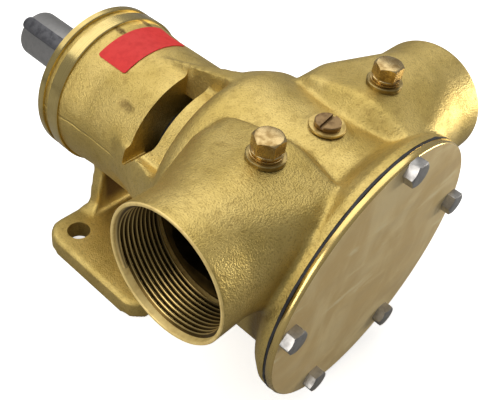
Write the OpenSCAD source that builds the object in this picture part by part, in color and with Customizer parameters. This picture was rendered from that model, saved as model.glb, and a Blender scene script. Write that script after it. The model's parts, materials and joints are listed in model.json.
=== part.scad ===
// Foot mounted flexible impeller pump with a separate bearing housing.
// The shaft runs along Y with the pump head at the front. The origin is the middle of the four
// foot holes on the face that the pump stands on. Z is up.

/* [Stance] */
// Height of the shaft centre above the base
shaft_height = 75; // [72:0.5:90]
// Distance from the middle of the foot holes forward to the port axis
port_setback = 87.5; // [84:0.5:92]

/* [Pump head] */
// Distance from the port axis forward to the gasket face
head_front = 38; // [36:0.5:40]
// Distance from the port axis back to the rear wall of the head
head_back = 56.7; // [53:0.1:60]
// Width of the metal around the circle of cover screws
flange_rim = 7.2; // [6.5:0.1:9]
// Width of the straight edge of the flange
flange_edge = 3.4; // [2:0.1:5]
// Length over which the flange runs down to the shell
flange_run = 13; // [10:0.5:16]
// Diameter of the shell around the pump chamber
shell_d = 116; // [113:0.5:118]
// Radius of the shoulder at the back of the shell
shoulder_r = 13; // [9:0.5:15]
// Height of the pad under the cam screw above the shell
saddle_rise = 1.7; // [0.5:0.1:3]
// Diameter of the pad under the cam screw
saddle_d = 18; // [17:0.5:22]
// Diameter of the pump chamber
chamber_d = 95.2; // [90:0.2:97]
// Depth of the pump chamber behind the gasket face
chamber_depth = 65; // [58:0.5:68]

/* [Ports] */
// Height of the port axis above the shaft axis
port_rise = 33.2; // [31:0.1:34]
// Distance from the middle of the pump to each port face
port_reach = 94.1; // [90:0.1:100]
// Outer diameter of the port tubes
port_tube_d = 63.2; // [61.5:0.1:66]
// Diameter of the port bore at the crests of its thread
port_bore_d = 56.66; // [52:0.02:57.5]
// Length of the threaded bore
port_thread_l = 26; // [20:0.5:30]
// Width of the chamfer inside each port mouth
port_chamfer = 1.4; // [0.6:0.1:1.8]
// Width of the passage from each port to the chamber, along the shaft
passage_w = 44; // [36:1:50]
// Height of the passage
passage_h = 26; // [20:1:30]

/* [Port plugs] */
// Distance of each plug from the middle of the pump
plug_offset = 41.6; // [38:0.1:46]
// Width across the flats of the plug head
plug_hex = 12.4; // [10:0.1:13]
// Height of the plug head
plug_head_h = 6.4; // [5:0.1:8]
// Diameter of the plug collar
plug_collar_d = 14; // [13:0.1:15]
// Height of the plug collar
plug_collar_h = 2.8; // [2:0.1:4]
// Diameter of the plug thread
plug_thread_d = 10; // [8:0.1:11]
// Length of the plug thread below its washer
plug_thread_l = 13; // [8:0.5:16]
// Diameter of the plug washer
plug_washer_d = 17; // [15.5:0.1:19]
// Thickness of the plug washer
plug_washer_t = 2; // [1:0.1:3]

/* [End cover] */
// Thickness of the cover
cover_t = 3.5; // [3:0.1:6]
// Radius on the front edge of the cover
cover_edge_r = 0.9; // [0.3:0.1:1.5]
// Thickness of the gasket
gasket_t = 1.2; // [0.4:0.1:2]
// Diameter of the circle of cover screws
screw_circle_d = 126.2; // [122:0.2:127]
// Height of the middle of the screw circle above the shaft axis
screw_circle_rise = 1.6; // [0:0.1:2.2]
// Diameter of the cover screws
screw_d = 6.35; // [5:0.05:6.5]
// Width across the flats of the screw heads
screw_hex = 11.1; // [9:0.1:11.5]
// Height of the screw heads
screw_head_h = 5.2; // [3:0.1:6]
// Length of the screws under the head
screw_l = 9; // [8:0.5:10]

/* [Cam] */
// Thickness of the cam at its middle
cam_t = 7; // [4:0.1:8]
// Diameter of the cam screw thread
cam_screw_d = 6; // [5:0.1:8]
// Diameter of the cam screw head
cam_head_d = 12; // [10:0.1:14]
// Height of the cam screw head
cam_head_h = 2.3; // [1.6:0.1:4]
// Width of the slot in the cam screw head
cam_slot_w = 1.8; // [1:0.1:2.5]
// Diameter of the cam screw washer
cam_washer_d = 17; // [14:0.1:18.5]
// Thickness of the cam screw washer
cam_washer_t = 1.2; // [0.6:0.1:2]

/* [Neck and window] */
// Diameter of the cast neck and bearing housing
neck_d = 82.6; // [80:0.2:85]
// Length of the plain boss between the head and the window
boss_l = 11; // [8:0.5:14]
// Width of the window along the shaft
window_w = 14.5; // [12:0.5:16]
// Diameter of the space inside the neck behind the window
cavity_d = 60; // [54:0.5:64]
// Width of the drain slot under the neck
drain_w = 24; // [14:1:30]

/* [Bearing housing] */
// Thickness of the wall in front of the front bearing
front_wall_t = 5.8; // [4:0.1:8]
// Diameter of the machined rear band
band_d = 88.4; // [87:0.1:91]
// Width of the front part of the band
band_w = 8; // [6:0.1:10]
// Width of the groove in the band
band_groove_w = 4; // [2:0.1:5]
// Depth of the groove in the band
band_groove_depth = 2.5; // [1:0.1:3.5]
// Width of the rear lip of the band
band_lip_w = 4.5; // [3:0.1:6]
// Growth of the neck radius in front of the band
neck_flare = 1.5; // [0.5:0.1:2]
// Length of the flared part in front of the band
neck_flare_l = 16; // [8:0.5:20]

/* [Bearings] */
// Outer diameter of the ball bearings
bearing_od = 62; // [60:0.5:64]
// Bore of the ball bearings
bearing_bore_d = 30; // [28.5:0.1:31]
// Width of the ball bearings
bearing_w = 16; // [14:0.5:18]
// Diameter of the balls
ball_d = 9.5; // [8:0.1:10]
// Number of balls in a bearing
ball_n = 9; // [7:1:10]
// Length of the spacer between the bearings
spacer_l = 20; // [14:0.5:26]
// Thickness of the spacer wall
spacer_wall = 3; // [2:0.1:4]
// Thickness of the ring that holds the rear bearing
housing_ring_t = 2; // [1.5:0.1:2.5]
// Width of the rear shaft seal
rear_seal_w = 7; // [5:0.5:8]
// Depth of the rear seal below the rear face
rear_seal_recess = 1.8; // [0.5:0.1:3]

/* [Shaft] */
// Diameter of the shaft through the impeller and the seal
shaft_front_d = 25; // [23:0.1:26]
// Diameter of the drive end of the shaft
shaft_drive_d = 28; // [26:0.1:28.4]
// Length of the drive end behind the bearing housing
shaft_drive_l = 58; // [40:0.5:80]
// Diameter of the collar in front of the front bearing
shaft_collar_d = 36; // [34:0.5:38]
// Width of the collar in front of the front bearing
shaft_collar_w = 3; // [2:0.1:4]
// Width of the drive key
key_w = 8; // [6:0.1:9]
// Height of the drive key
key_h = 7; // [6:0.1:8]
// Length of the drive key
key_l = 48; // [25:0.5:54]
// Angle of the drive key seen from the front, from +X towards +Z
key_angle = 128; // [0:1:359]

/* [Impeller] */
// Number of impeller vanes
vane_n = 10; // [6:1:12]
// Diameter of the rubber hub of the impeller
impeller_hub_d = 44; // [40:0.5:48]
// Thickness of a vane at its root
vane_root_t = 5.4; // [4:0.1:6]
// Thickness of a vane near its tip
vane_tip_t = 3.8; // [3:0.1:4.5]
// Radius of the bead at the tip of a vane
vane_bead_r = 3; // [2:0.1:3.4]
// Outer diameter of the metal hub
insert_d = 35; // [33:0.5:38]
// Depth of the metal hub behind the front face of the impeller
insert_recess = 4; // [3:0.1:6]
// Width of the impeller key
impeller_key_w = 5; // [4:0.1:6]
// Length of the impeller key
impeller_key_l = 36; // [20:1:48]

/* [Shaft seal] */
// Diameter of the seal space behind the chamber
seal_space_d = 40; // [38.5:0.5:44]
// Length of the seal space
seal_space_l = 26; // [24:0.5:28]
// Thickness of the wear plate
wear_plate_t = 2; // [1:0.1:3]
// Length of the fixed seal seat
seal_seat_l = 7; // [5:0.1:8]
// Radial thickness of the rubber cup around the fixed seat
seat_cup_t = 1.6; // [1:0.1:2.4]
// Length of the turning seal face
seal_face_l = 6; // [4:0.1:7]
// Outer diameter of the turning seal face
seal_face_d = 35; // [34.6:0.1:36]
// Diameter of the seal spring wire
seal_wire_d = 1.8; // [1.2:0.1:1.8]
// Diameter of the water slinger
slinger_d = 44; // [40:0.5:50]
// Thickness of the water slinger
slinger_t = 3; // [2:0.1:5]

/* [Foot and legs] */
// Width of the foot plate beside the line of its holes
foot_side_rim = 14.4; // [12:0.1:18]
// Length of the foot plate beyond the line of its holes
foot_end_rim = 15; // [12:0.1:18]
// Thickness of the foot plate
foot_t = 11.5; // [9:0.5:13]
// Corner radius of the foot plate
foot_corner_r = 13; // [8:0.5:15]
// Spacing of the foot holes across the pump
foot_hole_x = 96; // [92:0.5:98]
// Spacing of the foot holes along the shaft
foot_hole_y = 51; // [48:0.5:53]
// Diameter of the foot holes
foot_hole_d = 13; // [9:0.1:14]
// Thickness of each leg
leg_t = 9; // [7:0.1:11]
// Distance of each leg from the end of the foot plate
leg_inset = 2; // [1:0.1:4]
// Width of the legs at the neck
leg_w = 52; // [46:0.5:58]
// Width of the legs where they meet the foot
leg_foot_w = 60; // [56:0.5:66]
// Fillet radius between the legs and the foot
leg_fillet_r = 8; // [5:0.5:10]

/* [Label] */
// Length of the label around the housing, as an angle
label_angle = 61; // [40:1:80]
// Width of the label along the shaft
label_w = 20; // [14:0.5:20.5]
// Thickness of the label
label_t = 0.4; // [0.3:0.05:0.8]
// Distance from the window back to the label
label_front_gap = 25.3; // [10:0.1:27]

/* [Clearances] */
// Gap between parts that turn and parts that stand still
running_gap = 0.3; // [0.2:0.05:0.35]
// Radial gap of bores that carry or guide a turning part
fit_gap = 0.05; // [0.02:0.01:0.08]
// Gap between parts that are seated in each other
seat_gap = 0.02; // [0.01:0.01:0.04]
// Radial gap of the shaft in plain clearance holes
shaft_gap = 1.5; // [1:0.1:2]

/* [Hidden] */

fine = 96;
coarse = 32;
overrun = 1;

// Stations along the shaft, measured back from the port axis.
y_gasket = -head_front;
y_cover = y_gasket - gasket_t;
y_cover_front = y_cover - cover_t;
y_chamber_back = y_gasket + chamber_depth;
y_wear_front = y_chamber_back - wear_plate_t;
y_seal_back = y_chamber_back + seal_space_l;
y_window_front = head_back + boss_l;
y_window_back = y_window_front + window_w;
y_bearing_1 = y_window_back + front_wall_t;
y_bearing_2 = y_bearing_1 + bearing_w + spacer_l;
y_ring = y_bearing_2 + bearing_w;
y_rear_seal = y_ring + housing_ring_t;
y_rear = y_rear_seal + rear_seal_w + rear_seal_recess;
y_band = y_rear - band_lip_w - band_groove_w - band_w;
y_shaft_end = y_rear + shaft_drive_l;

// Radii that several parts share.
chamber_r = chamber_d / 2;
neck_r = neck_d / 2;
shell_r = shell_d / 2;
flange_r = screw_circle_d / 2 + flange_rim;
shaft_r = shaft_front_d / 2;
journal_r = bearing_bore_d / 2 - seat_gap;
port_tube_r = port_tube_d / 2;
port_bore_r = port_bore_d / 2;
saddle_z = shell_r + saddle_rise;
cam_r = chamber_r - seat_gap;
cam_face_z = cam_r - cam_t;
cam_screw_l = saddle_z + cam_washer_t - cam_face_z - cam_t / 3;

// Foot plate around its holes.
foot_w = foot_hole_x + 2 * foot_side_rim;
foot_l = foot_hole_y + 2 * foot_end_rim;

// Pin behind the wear plate.
wear_pin_d = 3;
wear_pin_l = 5;

// Parts of the shaft seal, from the chamber back.
bellows_t = 1.6;
spring_lip = 1;
spring_turns = 3;
spring_rings = 12;
spring_sides = 6;
spring_steps = spring_turns * spring_rings;
spring_r = (shaft_r + bellows_t + seat_gap) / cos(180 / spring_rings) + seal_wire_d / 2;
y_seat_front = y_seal_back - seal_seat_l;
y_face_front = y_seat_front - running_gap - seal_face_l;
y_cup_front = y_chamber_back + running_gap;
y_cup_back = y_cup_front + 2 * spring_lip;
spring_from = y_cup_back + seal_wire_d / 2 + seat_gap;
spring_to = y_face_front - seal_wire_d / 2 - seat_gap;
echo(spring_wire_gap = (spring_to - spring_from) / spring_turns - seal_wire_d);

// Circlips on the shaft and in the bearing bore.
clip_t = 1.3;
clip_depth = 1;
clip_gap = 5;

// Impeller, its metal hub and the shaft end inside it.
y_impeller_front = y_cover + running_gap;
y_impeller_back = y_wear_front - running_gap;
y_insert_front = y_impeller_front + insert_recess;
y_shaft_front = y_insert_front - 2 * clip_t;
y_impeller_key = (y_insert_front + y_impeller_back - impeller_key_l) / 2;
impeller_key_angle = -45;
vane_start = 54;
shaft_chamfer = 1.2;

// Drive key, seated in the shaft for a share of its height.
key_seat_share = 0.57;
key_end_gap = 1.5;
y_key = y_shaft_end - key_end_gap - key_l;
y_slinger = (y_window_front + y_window_back - slinger_t) / 2;

// Ball bearing details.
bearing_pitch_r = (bearing_od + bearing_bore_d) / 4;
race_gap = 2.7;
cage_t = 2.6;
cage_w = 12.5;

y_neck_bend = y_band - neck_flare_l;
y_label = y_window_back + label_front_gap;

// Angles of the cover screws around their circle, seen from the front.
screw_angles = [90, 6.9, 173.1, 298, 242];

// Points of the curve from the flange edge down to the shell, as shares of its drop and run.
flange_curve_shares = [[0, 0], [0.12, 0.12], [0.2, 0.22], [0.3, 0.36], [0.5, 0.5], [0.72, 0.66],
    [0.88, 0.8], [1, 1]];

// Place across the pump of the upright far wall of the window, and the heights of the near edge
// of the window above the shaft axis.
window_far_x = -2.5;
window_near_front_z = 20.8;
window_near_rear_z = 4.6;

// Web beyond the window: angles of its slices and how far each reaches back from the shoulder, as
// shares of the length from the shoulder to the window.
web_angles = [80, 93];
web_reach_shares = [0.98, 1.54];

// Angles of the two cheeks that run from the neck up to the head, and points of their outlines as
// shares of the drop from the shell to the neck and of the length from the shoulder to the window.
cheek_near_angles = [162, 190];
cheek_near_shares = [[0, 0], [0.51, 0.53], [0.67, 0.79], [0.83, 1.03], [1, 1.3]];
cheek_far_angles = [-10, 80];
cheek_far_shares = [[0, 0], [0.06, 0.1], [0.17, 0.24], [0.35, 0.38], [0.55, 0.51], [0.72, 0.65],
    [0.88, 0.79], [1, 0.94]];
cheek_sink = 0.4;

// Rounding of the port bodies where they grow out of the shell.
port_swell_share = 0.8;
port_lobe_share = 0.46;
port_lobe_rise_share = 0.7;
port_lobe_gap_share = 0.6;
port_inner_x = 18;
port_round_r = 7.5;
port_swell = 0.4;
plug_pad_margin = 0.8;

// Turned face of the hexagon heads and the rise of the cone around it.
head_face_inset = 0.1;
head_slope = 0.6;

// Turns children so that their Z axis runs back along the shaft.
module along_shaft(station = 0) {
    translate([0, -port_setback + station, shaft_height])
        rotate([-90, 0, 0])
            children();
}

// Places children at the port axis with their X axis to the right port.
module at_ports() {
    translate([0, -port_setback, shaft_height + port_rise])
        children();
}

// Places children on the shaft axis at a station, with the axes of the pump.
module at_station(station = 0) {
    translate([0, -port_setback + station, shaft_height])
        children();
}

// Solid of revolution around the shaft from points of radius and station.
module turned(points) {
    along_shaft()
        rotate_extrude($fn = fine)
            polygon(points);
}

// Ring around the shaft between two stations.
module ring(outer_r, inner_r, from, to) {
    along_shaft(from)
        difference() {
            cylinder(h = to - from, r = outer_r, $fn = fine);
            translate([0, 0, -overrun])
                cylinder(h = to - from + 2 * overrun, r = inner_r, $fn = fine);
        }
}

// Plain round bar along the shaft between two stations.
module bar(radius, from, to) {
    along_shaft(from)
        cylinder(h = to - from, r = radius, $fn = fine);
}

// Points of an arc around a centre, from one angle to another.
function arc_points(centre, radius, from, to, steps = 8) =
    [for (i = [0:steps]) centre + radius * [cos(from + (to - from) * i / steps),
                                            sin(from + (to - from) * i / steps)]];

// Flat plate with rounded corners, centred on the origin.
module rounded_plate(width, length, corner, thickness) {
    linear_extrude(thickness)
        union() {
            square([width - 2 * corner, length], center = true);
            square([width, length - 2 * corner], center = true);
            for (sx = [-1, 1], sy = [-1, 1])
                translate([sx * (width / 2 - corner), sy * (length / 2 - corner)])
                    circle(r = corner, $fn = fine);
        }
}

// Places children at each cover screw, with Z pointing to the rear.
module at_cover_screws(station) {
    for (angle = screw_angles)
        at_station(station)
            translate([screw_circle_d / 2 * cos(angle), 0,
                       screw_circle_rise + screw_circle_d / 2 * sin(angle)])
                rotate([-90, 0, 0])
                    children();
}

// Outer form of the casting that is turned around the shaft.
module casting_of_revolution() {
    y_flange = y_gasket + flange_edge;
    drop = flange_r - shell_r;
    turned(concat(
        [[0, y_gasket], [flange_r, y_gasket]],
        [for (share = flange_curve_shares)
            [flange_r - drop * share[0], y_flange + flange_run * share[1]]],
        arc_points([shell_r - shoulder_r, head_back - shoulder_r], shoulder_r, 0, 90),
        [[neck_r, head_back], [neck_r, y_band - neck_flare_l],
         [neck_r + neck_flare, y_band], [band_d / 2, y_band],
         [band_d / 2, y_band + band_w],
         [band_d / 2 - band_groove_depth, y_band + band_w],
         [band_d / 2 - band_groove_depth, y_rear - band_lip_w],
         [band_d / 2, y_rear - band_lip_w], [band_d / 2, y_rear], [0, y_rear]]));
}

// Cheek that flares from the neck to the shell between two angles, with points of its outline.
module cheek(angles, shares) {
    y_foot = head_back - shoulder_r;
    run = y_window_back - y_foot;
    y_end = y_foot + run * shares[len(shares) - 1][1];
    inner_r = (cavity_d / 2 + neck_r) / 2;
    along_shaft()
        rotate([0, 0, -angles[1]])
            rotate_extrude(angle = angles[1] - angles[0], $fn = fine)
                polygon(concat(
                    [[inner_r, y_foot - overrun], [shell_r - cheek_sink, y_foot - overrun]],
                    [for (share = shares)
                        [shell_r - cheek_sink - (shell_r - neck_r) * share[0],
                         y_foot + run * share[1]]],
                    [[inner_r, y_end]]));
}

// Mirrors children to the left port unless the side is 1.
module on_side(side) {
    if (side > 0)
        children();
    else
        mirror([1, 0, 0])
            children();
}

// Body of one port, from the mouth to the shell. side is 1 for the right port.
module port_body(side) {
    swell_x = port_reach * port_swell_share;
    swell_r = port_tube_r + port_swell;
    lobe_x = port_reach * port_lobe_share;
    lobe_r = port_tube_r * port_lobe_share;
    lobe_up = (port_tube_r - lobe_r) * port_lobe_rise_share;
    rear_y = head_back - shoulder_r - port_round_r * port_lobe_gap_share - lobe_r;
    front_y = y_gasket + flange_edge + lobe_r;
    at_ports()
        on_side(side)
            rotate([0, 90, 0]) {
                translate([0, 0, swell_x - port_round_r])
                    cylinder(h = port_reach - swell_x + port_round_r, r = port_tube_r,
                             $fn = fine);
                hull() {
                    translate([0, 0, port_inner_x])
                        cylinder(h = swell_x - port_inner_x, r = swell_r - port_round_r,
                                 $fn = coarse);
                    translate([0, 0, port_inner_x + port_round_r])
                        cylinder(h = swell_x - port_inner_x - port_round_r, r = swell_r,
                                 $fn = coarse);
                    for (up = [-1, 1], y = [front_y, rear_y])
                        translate([up * lobe_up, y, port_inner_x + port_round_r])
                            cylinder(h = lobe_x - port_inner_x - port_round_r, r = lobe_r,
                                     $fn = coarse);
                }
            }
}

// Leg seen from the front, as a plate that meets the foot with fillets.
module leg(station) {
    foot_top = foot_t - shaft_height;
    half_foot = leg_foot_w / 2;
    fillet_top = foot_top + leg_fillet_r;
    right = concat(
        [[leg_w / 2, 0], [leg_w / 2, fillet_top + (shaft_height - foot_t - neck_r) / 2]],
        arc_points([half_foot + leg_fillet_r, fillet_top], leg_fillet_r, 180, 270),
        [[half_foot + leg_fillet_r, foot_top - overrun]]);
    left = [for (i = [len(right) - 1:-1:0]) [-right[i][0], right[i][1]]];
    at_station(station)
        rotate([90, 0, 0])
            translate([0, 0, -leg_t])
                linear_extrude(leg_t)
                    polygon(concat(right, left));
}

// Threaded bore, passage and chamfer of one port.
module port_bore(side) {
    at_ports()
        on_side(side) {
            rotate([0, 90, 0]) {
                translate([0, 0, port_reach - port_thread_l])
                    cylinder(h = port_thread_l + overrun, r = port_bore_r, $fn = fine);
                translate([0, 0, port_reach - port_chamfer])
                    cylinder(h = port_chamfer + overrun, r1 = port_bore_r,
                             r2 = port_bore_r + port_chamfer + overrun, $fn = fine);
            }
            passage_x = chamber_r / 2;
            passage_z = -port_rise / 4;
            translate([passage_x, 0, passage_z])
                rotate([90, 0, 90])
                    linear_extrude(port_reach - port_thread_l - passage_x + overrun)
                        union() {
                            square([passage_w - passage_h, passage_h], center = true);
                            for (end = [-1, 1])
                                translate([end * (passage_w - passage_h) / 2, 0])
                                    circle(d = passage_h, $fn = fine);
                        }
        }
}

// Thin slice of the web at one angle around the neck, tapering back to a reach.
module web_slice(angle, reach_share) {
    y_foot = head_back - shoulder_r;
    y_end = y_foot + (y_window_back - y_foot) * reach_share;
    inner_r = (cavity_d / 2 + neck_r) / 2;
    along_shaft()
        rotate([0, 0, -angle])
            rotate_extrude(angle = cheek_sink, $fn = fine)
                polygon([[inner_r, y_foot], [shell_r - cheek_sink, y_foot],
                         [neck_r - cheek_sink, y_end], [inner_r, y_end]]);
}

// Web that rises beyond the window from the neck to the shell.
module window_web() {
    for (i = [0:len(web_angles) - 2])
        hull() {
            web_slice(web_angles[i], web_reach_shares[i]);
            web_slice(web_angles[i + 1], web_reach_shares[i + 1]);
        }
}

// Window through the near upper side of the neck, with an upright far wall and a sloping near edge.
module neck_window() {
    y_front = y_window_front - port_setback;
    y_back = y_window_back - port_setback;
    top_z = shaft_height + shell_r;
    difference() {
        translate([-shell_r, 0, 0])
            rotate([90, 0, 90])
                linear_extrude(shell_r + window_far_x)
                    polygon([[y_front, shaft_height + window_near_front_z], [y_front, top_z],
                             [y_back, top_z], [y_back, shaft_height + window_near_rear_z]]);
        bar(cavity_d / 2 - overrun, y_window_front - overrun, y_window_back + overrun);
    }
}

module pump_housing() {
    color("darkkhaki")
        difference() {
            union() {
                casting_of_revolution();
                cheek(cheek_near_angles, cheek_near_shares);
                cheek(cheek_far_angles, cheek_far_shares);
                window_web();
                port_body(1);
                port_body(-1);
                plug_pad(1);
                plug_pad(-1);
                translate([0, -port_setback, shaft_height])
                    cylinder(h = saddle_z, d = saddle_d, $fn = fine);
                rounded_plate(foot_w, foot_l, foot_corner_r, foot_t);
                leg(port_setback + foot_l / 2 - leg_inset - leg_t);
                leg(port_setback - foot_l / 2 + leg_inset);
            }
            bar(chamber_r, y_gasket - overrun, y_chamber_back);
            bar(seal_space_d / 2, y_chamber_back - overrun, y_seal_back);
            bar(shaft_r + shaft_gap, y_seal_back - overrun, y_window_front + overrun);
            bar(cavity_d / 2, y_window_front, y_window_back);
            bar(shaft_collar_d / 2 + shaft_gap * 2, y_window_back - overrun,
                y_bearing_1 + overrun);
            bar(bearing_od / 2, y_bearing_1, y_rear + overrun);
            bar(bearing_od / 2 + housing_ring_t, y_ring, y_rear_seal);
            port_bore(1);
            port_bore(-1);
            neck_window();
            drain_slot();
            at_cover_screws(y_gasket - overrun)
                cylinder(h = screw_l - cover_t - gasket_t + 2 * overrun,
                         d = screw_d + 2 * seat_gap, $fn = fine);
            translate([0, -port_setback, shaft_height + chamber_r - overrun])
                cylinder(h = saddle_z, d = cam_screw_d + 2 * seat_gap, $fn = fine);
            for (side = [-1, 1])
                plug_hole(side);
            wear_plate_pin_hole();
            for (sx = [-1, 1], sy = [-1, 1])
                translate([sx * foot_hole_x / 2, sy * foot_hole_y / 2, -overrun])
                    cylinder(h = foot_t + 2 * overrun, d = foot_hole_d, $fn = fine);
        }
}

// Slot under the neck through which leaked water drains.
module drain_slot() {
    at_station(y_window_front)
        translate([-drain_w / 2, 0, -neck_r - overrun])
            cube([drain_w, window_w, neck_r / 2]);
}

// Round pad that carries the washer of a port plug.
module plug_pad(side) {
    at_ports()
        translate([side * plug_offset, 0, port_bore_r])
            cylinder(h = port_tube_r - port_bore_r, d = plug_washer_d + 2 * plug_pad_margin,
                     $fn = fine);
}

// Threaded hole for a port plug down to the passage, and the flat cut for its washer.
module plug_hole(side) {
    at_ports()
        translate([side * plug_offset, 0, port_tube_r]) {
            cylinder(h = plug_head_h, d = plug_washer_d + 3 * plug_pad_margin, $fn = fine);
            translate([0, 0, -plug_thread_l - overrun])
                cylinder(h = plug_thread_l + 3 * overrun, d = plug_thread_d + 2 * seat_gap,
                         $fn = fine);
        }
}

module end_cover() {
    color("tan")
        difference() {
            turned(concat(
                [[0, y_cover], [0, y_cover_front]],
                arc_points([flange_r - cover_edge_r, y_cover_front + cover_edge_r],
                           cover_edge_r, -90, 0, 4),
                [[flange_r, y_cover]]));
            at_cover_screws(y_cover_front - overrun)
                cylinder(h = cover_t + 2 * overrun, d = screw_d + 2 * seat_gap, $fn = fine);
        }
}

module cover_gasket() {
    color("dimgray")
        difference() {
            ring(flange_r, chamber_r, y_cover, y_gasket);
            at_cover_screws(y_cover - overrun)
                cylinder(h = gasket_t + 2 * overrun, d = screw_d + 2 * seat_gap, $fn = fine);
        }
}

module cover_screws() {
    color("silver") {
        at_cover_screws(y_cover_front - screw_head_h)
            hex_head(screw_hex, screw_head_h);
        at_cover_screws(y_cover_front - screw_head_h)
            translate([0, 0, screw_head_h])
                cylinder(h = screw_l, d = screw_d, $fn = fine);
    }
}

// Hexagon head with its outer corners turned down by a cone at the low end.
module hex_head(across_flats, height) {
    corner_r = across_flats / 2 / cos(30);
    face_r = across_flats / 2 - head_face_inset;
    wide_r = corner_r + overrun;
    intersection() {
        cylinder(h = height, r = corner_r, $fn = 6);
        rotate_extrude($fn = fine)
            polygon([[0, 0], [face_r, 0], [wide_r, (wide_r - face_r) * head_slope],
                     [wide_r, height + overrun], [0, height + overrun]]);
    }
}

// Hexagon plug with a grooved collar and a short thread.
module port_plug(side) {
    color("sienna")
        at_ports()
            translate([side * plug_offset, 0, port_tube_r + plug_washer_t]) {
                translate([0, 0, plug_collar_h + plug_head_h])
                    mirror([0, 0, 1])
                        hex_head(plug_hex, plug_head_h);
                difference() {
                    cylinder(h = plug_collar_h, d = plug_collar_d, $fn = fine);
                    translate([0, 0, plug_collar_h / 2])
                        plug_collar_groove();
                }
                translate([0, 0, -plug_washer_t - plug_thread_l])
                    cylinder(h = plug_thread_l + plug_washer_t, d = plug_thread_d, $fn = fine);
            }
}

// Round groove around the collar of a plug.
module plug_collar_groove() {
    rotate_extrude($fn = fine)
        translate([plug_collar_d / 2, 0])
            circle(r = plug_collar_h / 6, $fn = coarse);
}

module port_plug_left() {
    port_plug(-1);
}

module port_plug_right() {
    port_plug(1);
}

module port_plug_washers() {
    color("peru")
        at_ports()
            for (side = [-1, 1])
                translate([side * plug_offset, 0, port_tube_r])
                    difference() {
                        cylinder(h = plug_washer_t, d = plug_washer_d, $fn = fine);
                        translate([0, 0, -overrun])
                            cylinder(h = plug_washer_t + 2 * overrun,
                                     d = plug_thread_d + 2 * seat_gap, $fn = fine);
                    }
}

// Segment that squeezes the vanes between the two ports.
module cam() {
    color("goldenrod")
        difference() {
            bar(cam_r, y_cover + running_gap, y_wear_front - running_gap);
            at_station(y_cover - overrun)
                translate([-chamber_d, 0, cam_face_z - 2 * chamber_d])
                    cube([2 * chamber_d, chamber_depth + gasket_t + 2 * overrun, 2 * chamber_d]);
            translate([0, -port_setback, shaft_height + cam_face_z + cam_t / 4])
                cylinder(h = cam_t, d = cam_screw_d + 2 * seat_gap, $fn = fine);
        }
}

module cam_screw() {
    color("peru")
        translate([0, -port_setback, shaft_height + saddle_z + cam_washer_t])
            difference() {
                union() {
                    cylinder(h = cam_head_h, d = cam_head_d, $fn = fine);
                    translate([0, 0, -cam_screw_l])
                        cylinder(h = cam_screw_l, d = cam_screw_d, $fn = fine);
                }
                translate([-cam_head_d, -cam_slot_w / 2, cam_head_h / 2])
                    cube([2 * cam_head_d, cam_slot_w, cam_head_h]);
            }
}

module cam_screw_washer() {
    color("goldenrod")
        translate([0, -port_setback, shaft_height + saddle_z])
            difference() {
                cylinder(h = cam_washer_t, d = cam_washer_d, $fn = fine);
                translate([0, 0, -overrun])
                    cylinder(h = cam_washer_t + 2 * overrun, d = cam_screw_d + 2 * seat_gap,
                             $fn = fine);
            }
}

// Places children at the pin that keeps the wear plate from turning, with Z to the rear.
module at_wear_pin(station) {
    at_station(station)
        translate([0, 0, -chamber_r + 2 * wear_pin_d])
            rotate([-90, 0, 0])
                children();
}

module wear_plate_pin_hole() {
    at_wear_pin(y_chamber_back - overrun)
        cylinder(h = wear_pin_l + overrun, d = wear_pin_d + 2 * seat_gap, $fn = fine);
}

module wear_plate() {
    color("silver")
        difference() {
            ring(chamber_r - seat_gap, shaft_r + shaft_gap, y_wear_front, y_chamber_back);
            at_wear_pin(y_wear_front - overrun)
                cylinder(h = wear_plate_t + 2 * overrun, d = wear_pin_d + 2 * seat_gap,
                         $fn = fine);
        }
}

module wear_plate_pin() {
    color("gray")
        at_wear_pin(y_wear_front + running_gap)
            cylinder(h = wear_plate_t - running_gap + wear_pin_l, d = wear_pin_d, $fn = fine);
}

module seal_seat() {
    color("ivory")
        ring(seal_space_d / 2 - seat_cup_t - 2 * seat_gap, shaft_r + shaft_gap,
             y_seat_front, y_seal_back);
}

module seal_seat_cup() {
    color("black")
        ring(seal_space_d / 2 - seat_gap, seal_space_d / 2 - seat_cup_t - seat_gap,
             y_seat_front + seat_cup_t, y_seal_back);
}

module seal_face() {
    color("dimgray")
        ring(seal_face_d / 2, shaft_r + bellows_t + seat_gap, y_face_front,
             y_face_front + seal_face_l);
}

module seal_bellows() {
    color("black")
        ring(shaft_r + bellows_t, shaft_r + seat_gap, y_cup_back,
             y_face_front + seal_face_l / 2);
}

module seal_spring_cup() {
    color("silver")
        difference() {
            ring(seal_face_d / 2, shaft_r + seat_gap, y_cup_front, y_cup_back + spring_lip);
            ring(seal_face_d / 2 - spring_lip, shaft_r - overrun, y_cup_back,
                 y_cup_back + spring_lip + overrun);
        }
}

// Height of the middle line of the spring at a step of its winding.
function spring_y(i) = spring_from + (spring_to - spring_from) * i / spring_steps;

// Points of one ring of the spring wire, laid across its winding.
function spring_ring(i) =
    [for (k = [0:spring_sides - 1])
        let (around = 360 * k / spring_sides, turn = 360 * i / spring_rings,
             r = spring_r + seal_wire_d / 2 * cos(around))
        [r * cos(turn), r * sin(turn), spring_y(i) + seal_wire_d / 2 * sin(around)]];

module seal_spring() {
    points = [for (i = [0:spring_steps]) each spring_ring(i)];
    last = spring_steps * spring_sides;
    sides = [for (i = [0:spring_steps - 1], k = [0:spring_sides - 1])
        let (a = i * spring_sides + k, b = i * spring_sides + (k + 1) % spring_sides)
        each [[a, a + spring_sides, b], [b, a + spring_sides, b + spring_sides]]];
    ends = concat([for (k = [1:spring_sides - 2]) [0, k, k + 1]],
                  [for (k = [1:spring_sides - 2]) [last, last + k + 1, last + k]]);
    color("silver")
        along_shaft()
            polyhedron(points, concat(sides, ends));
}

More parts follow.
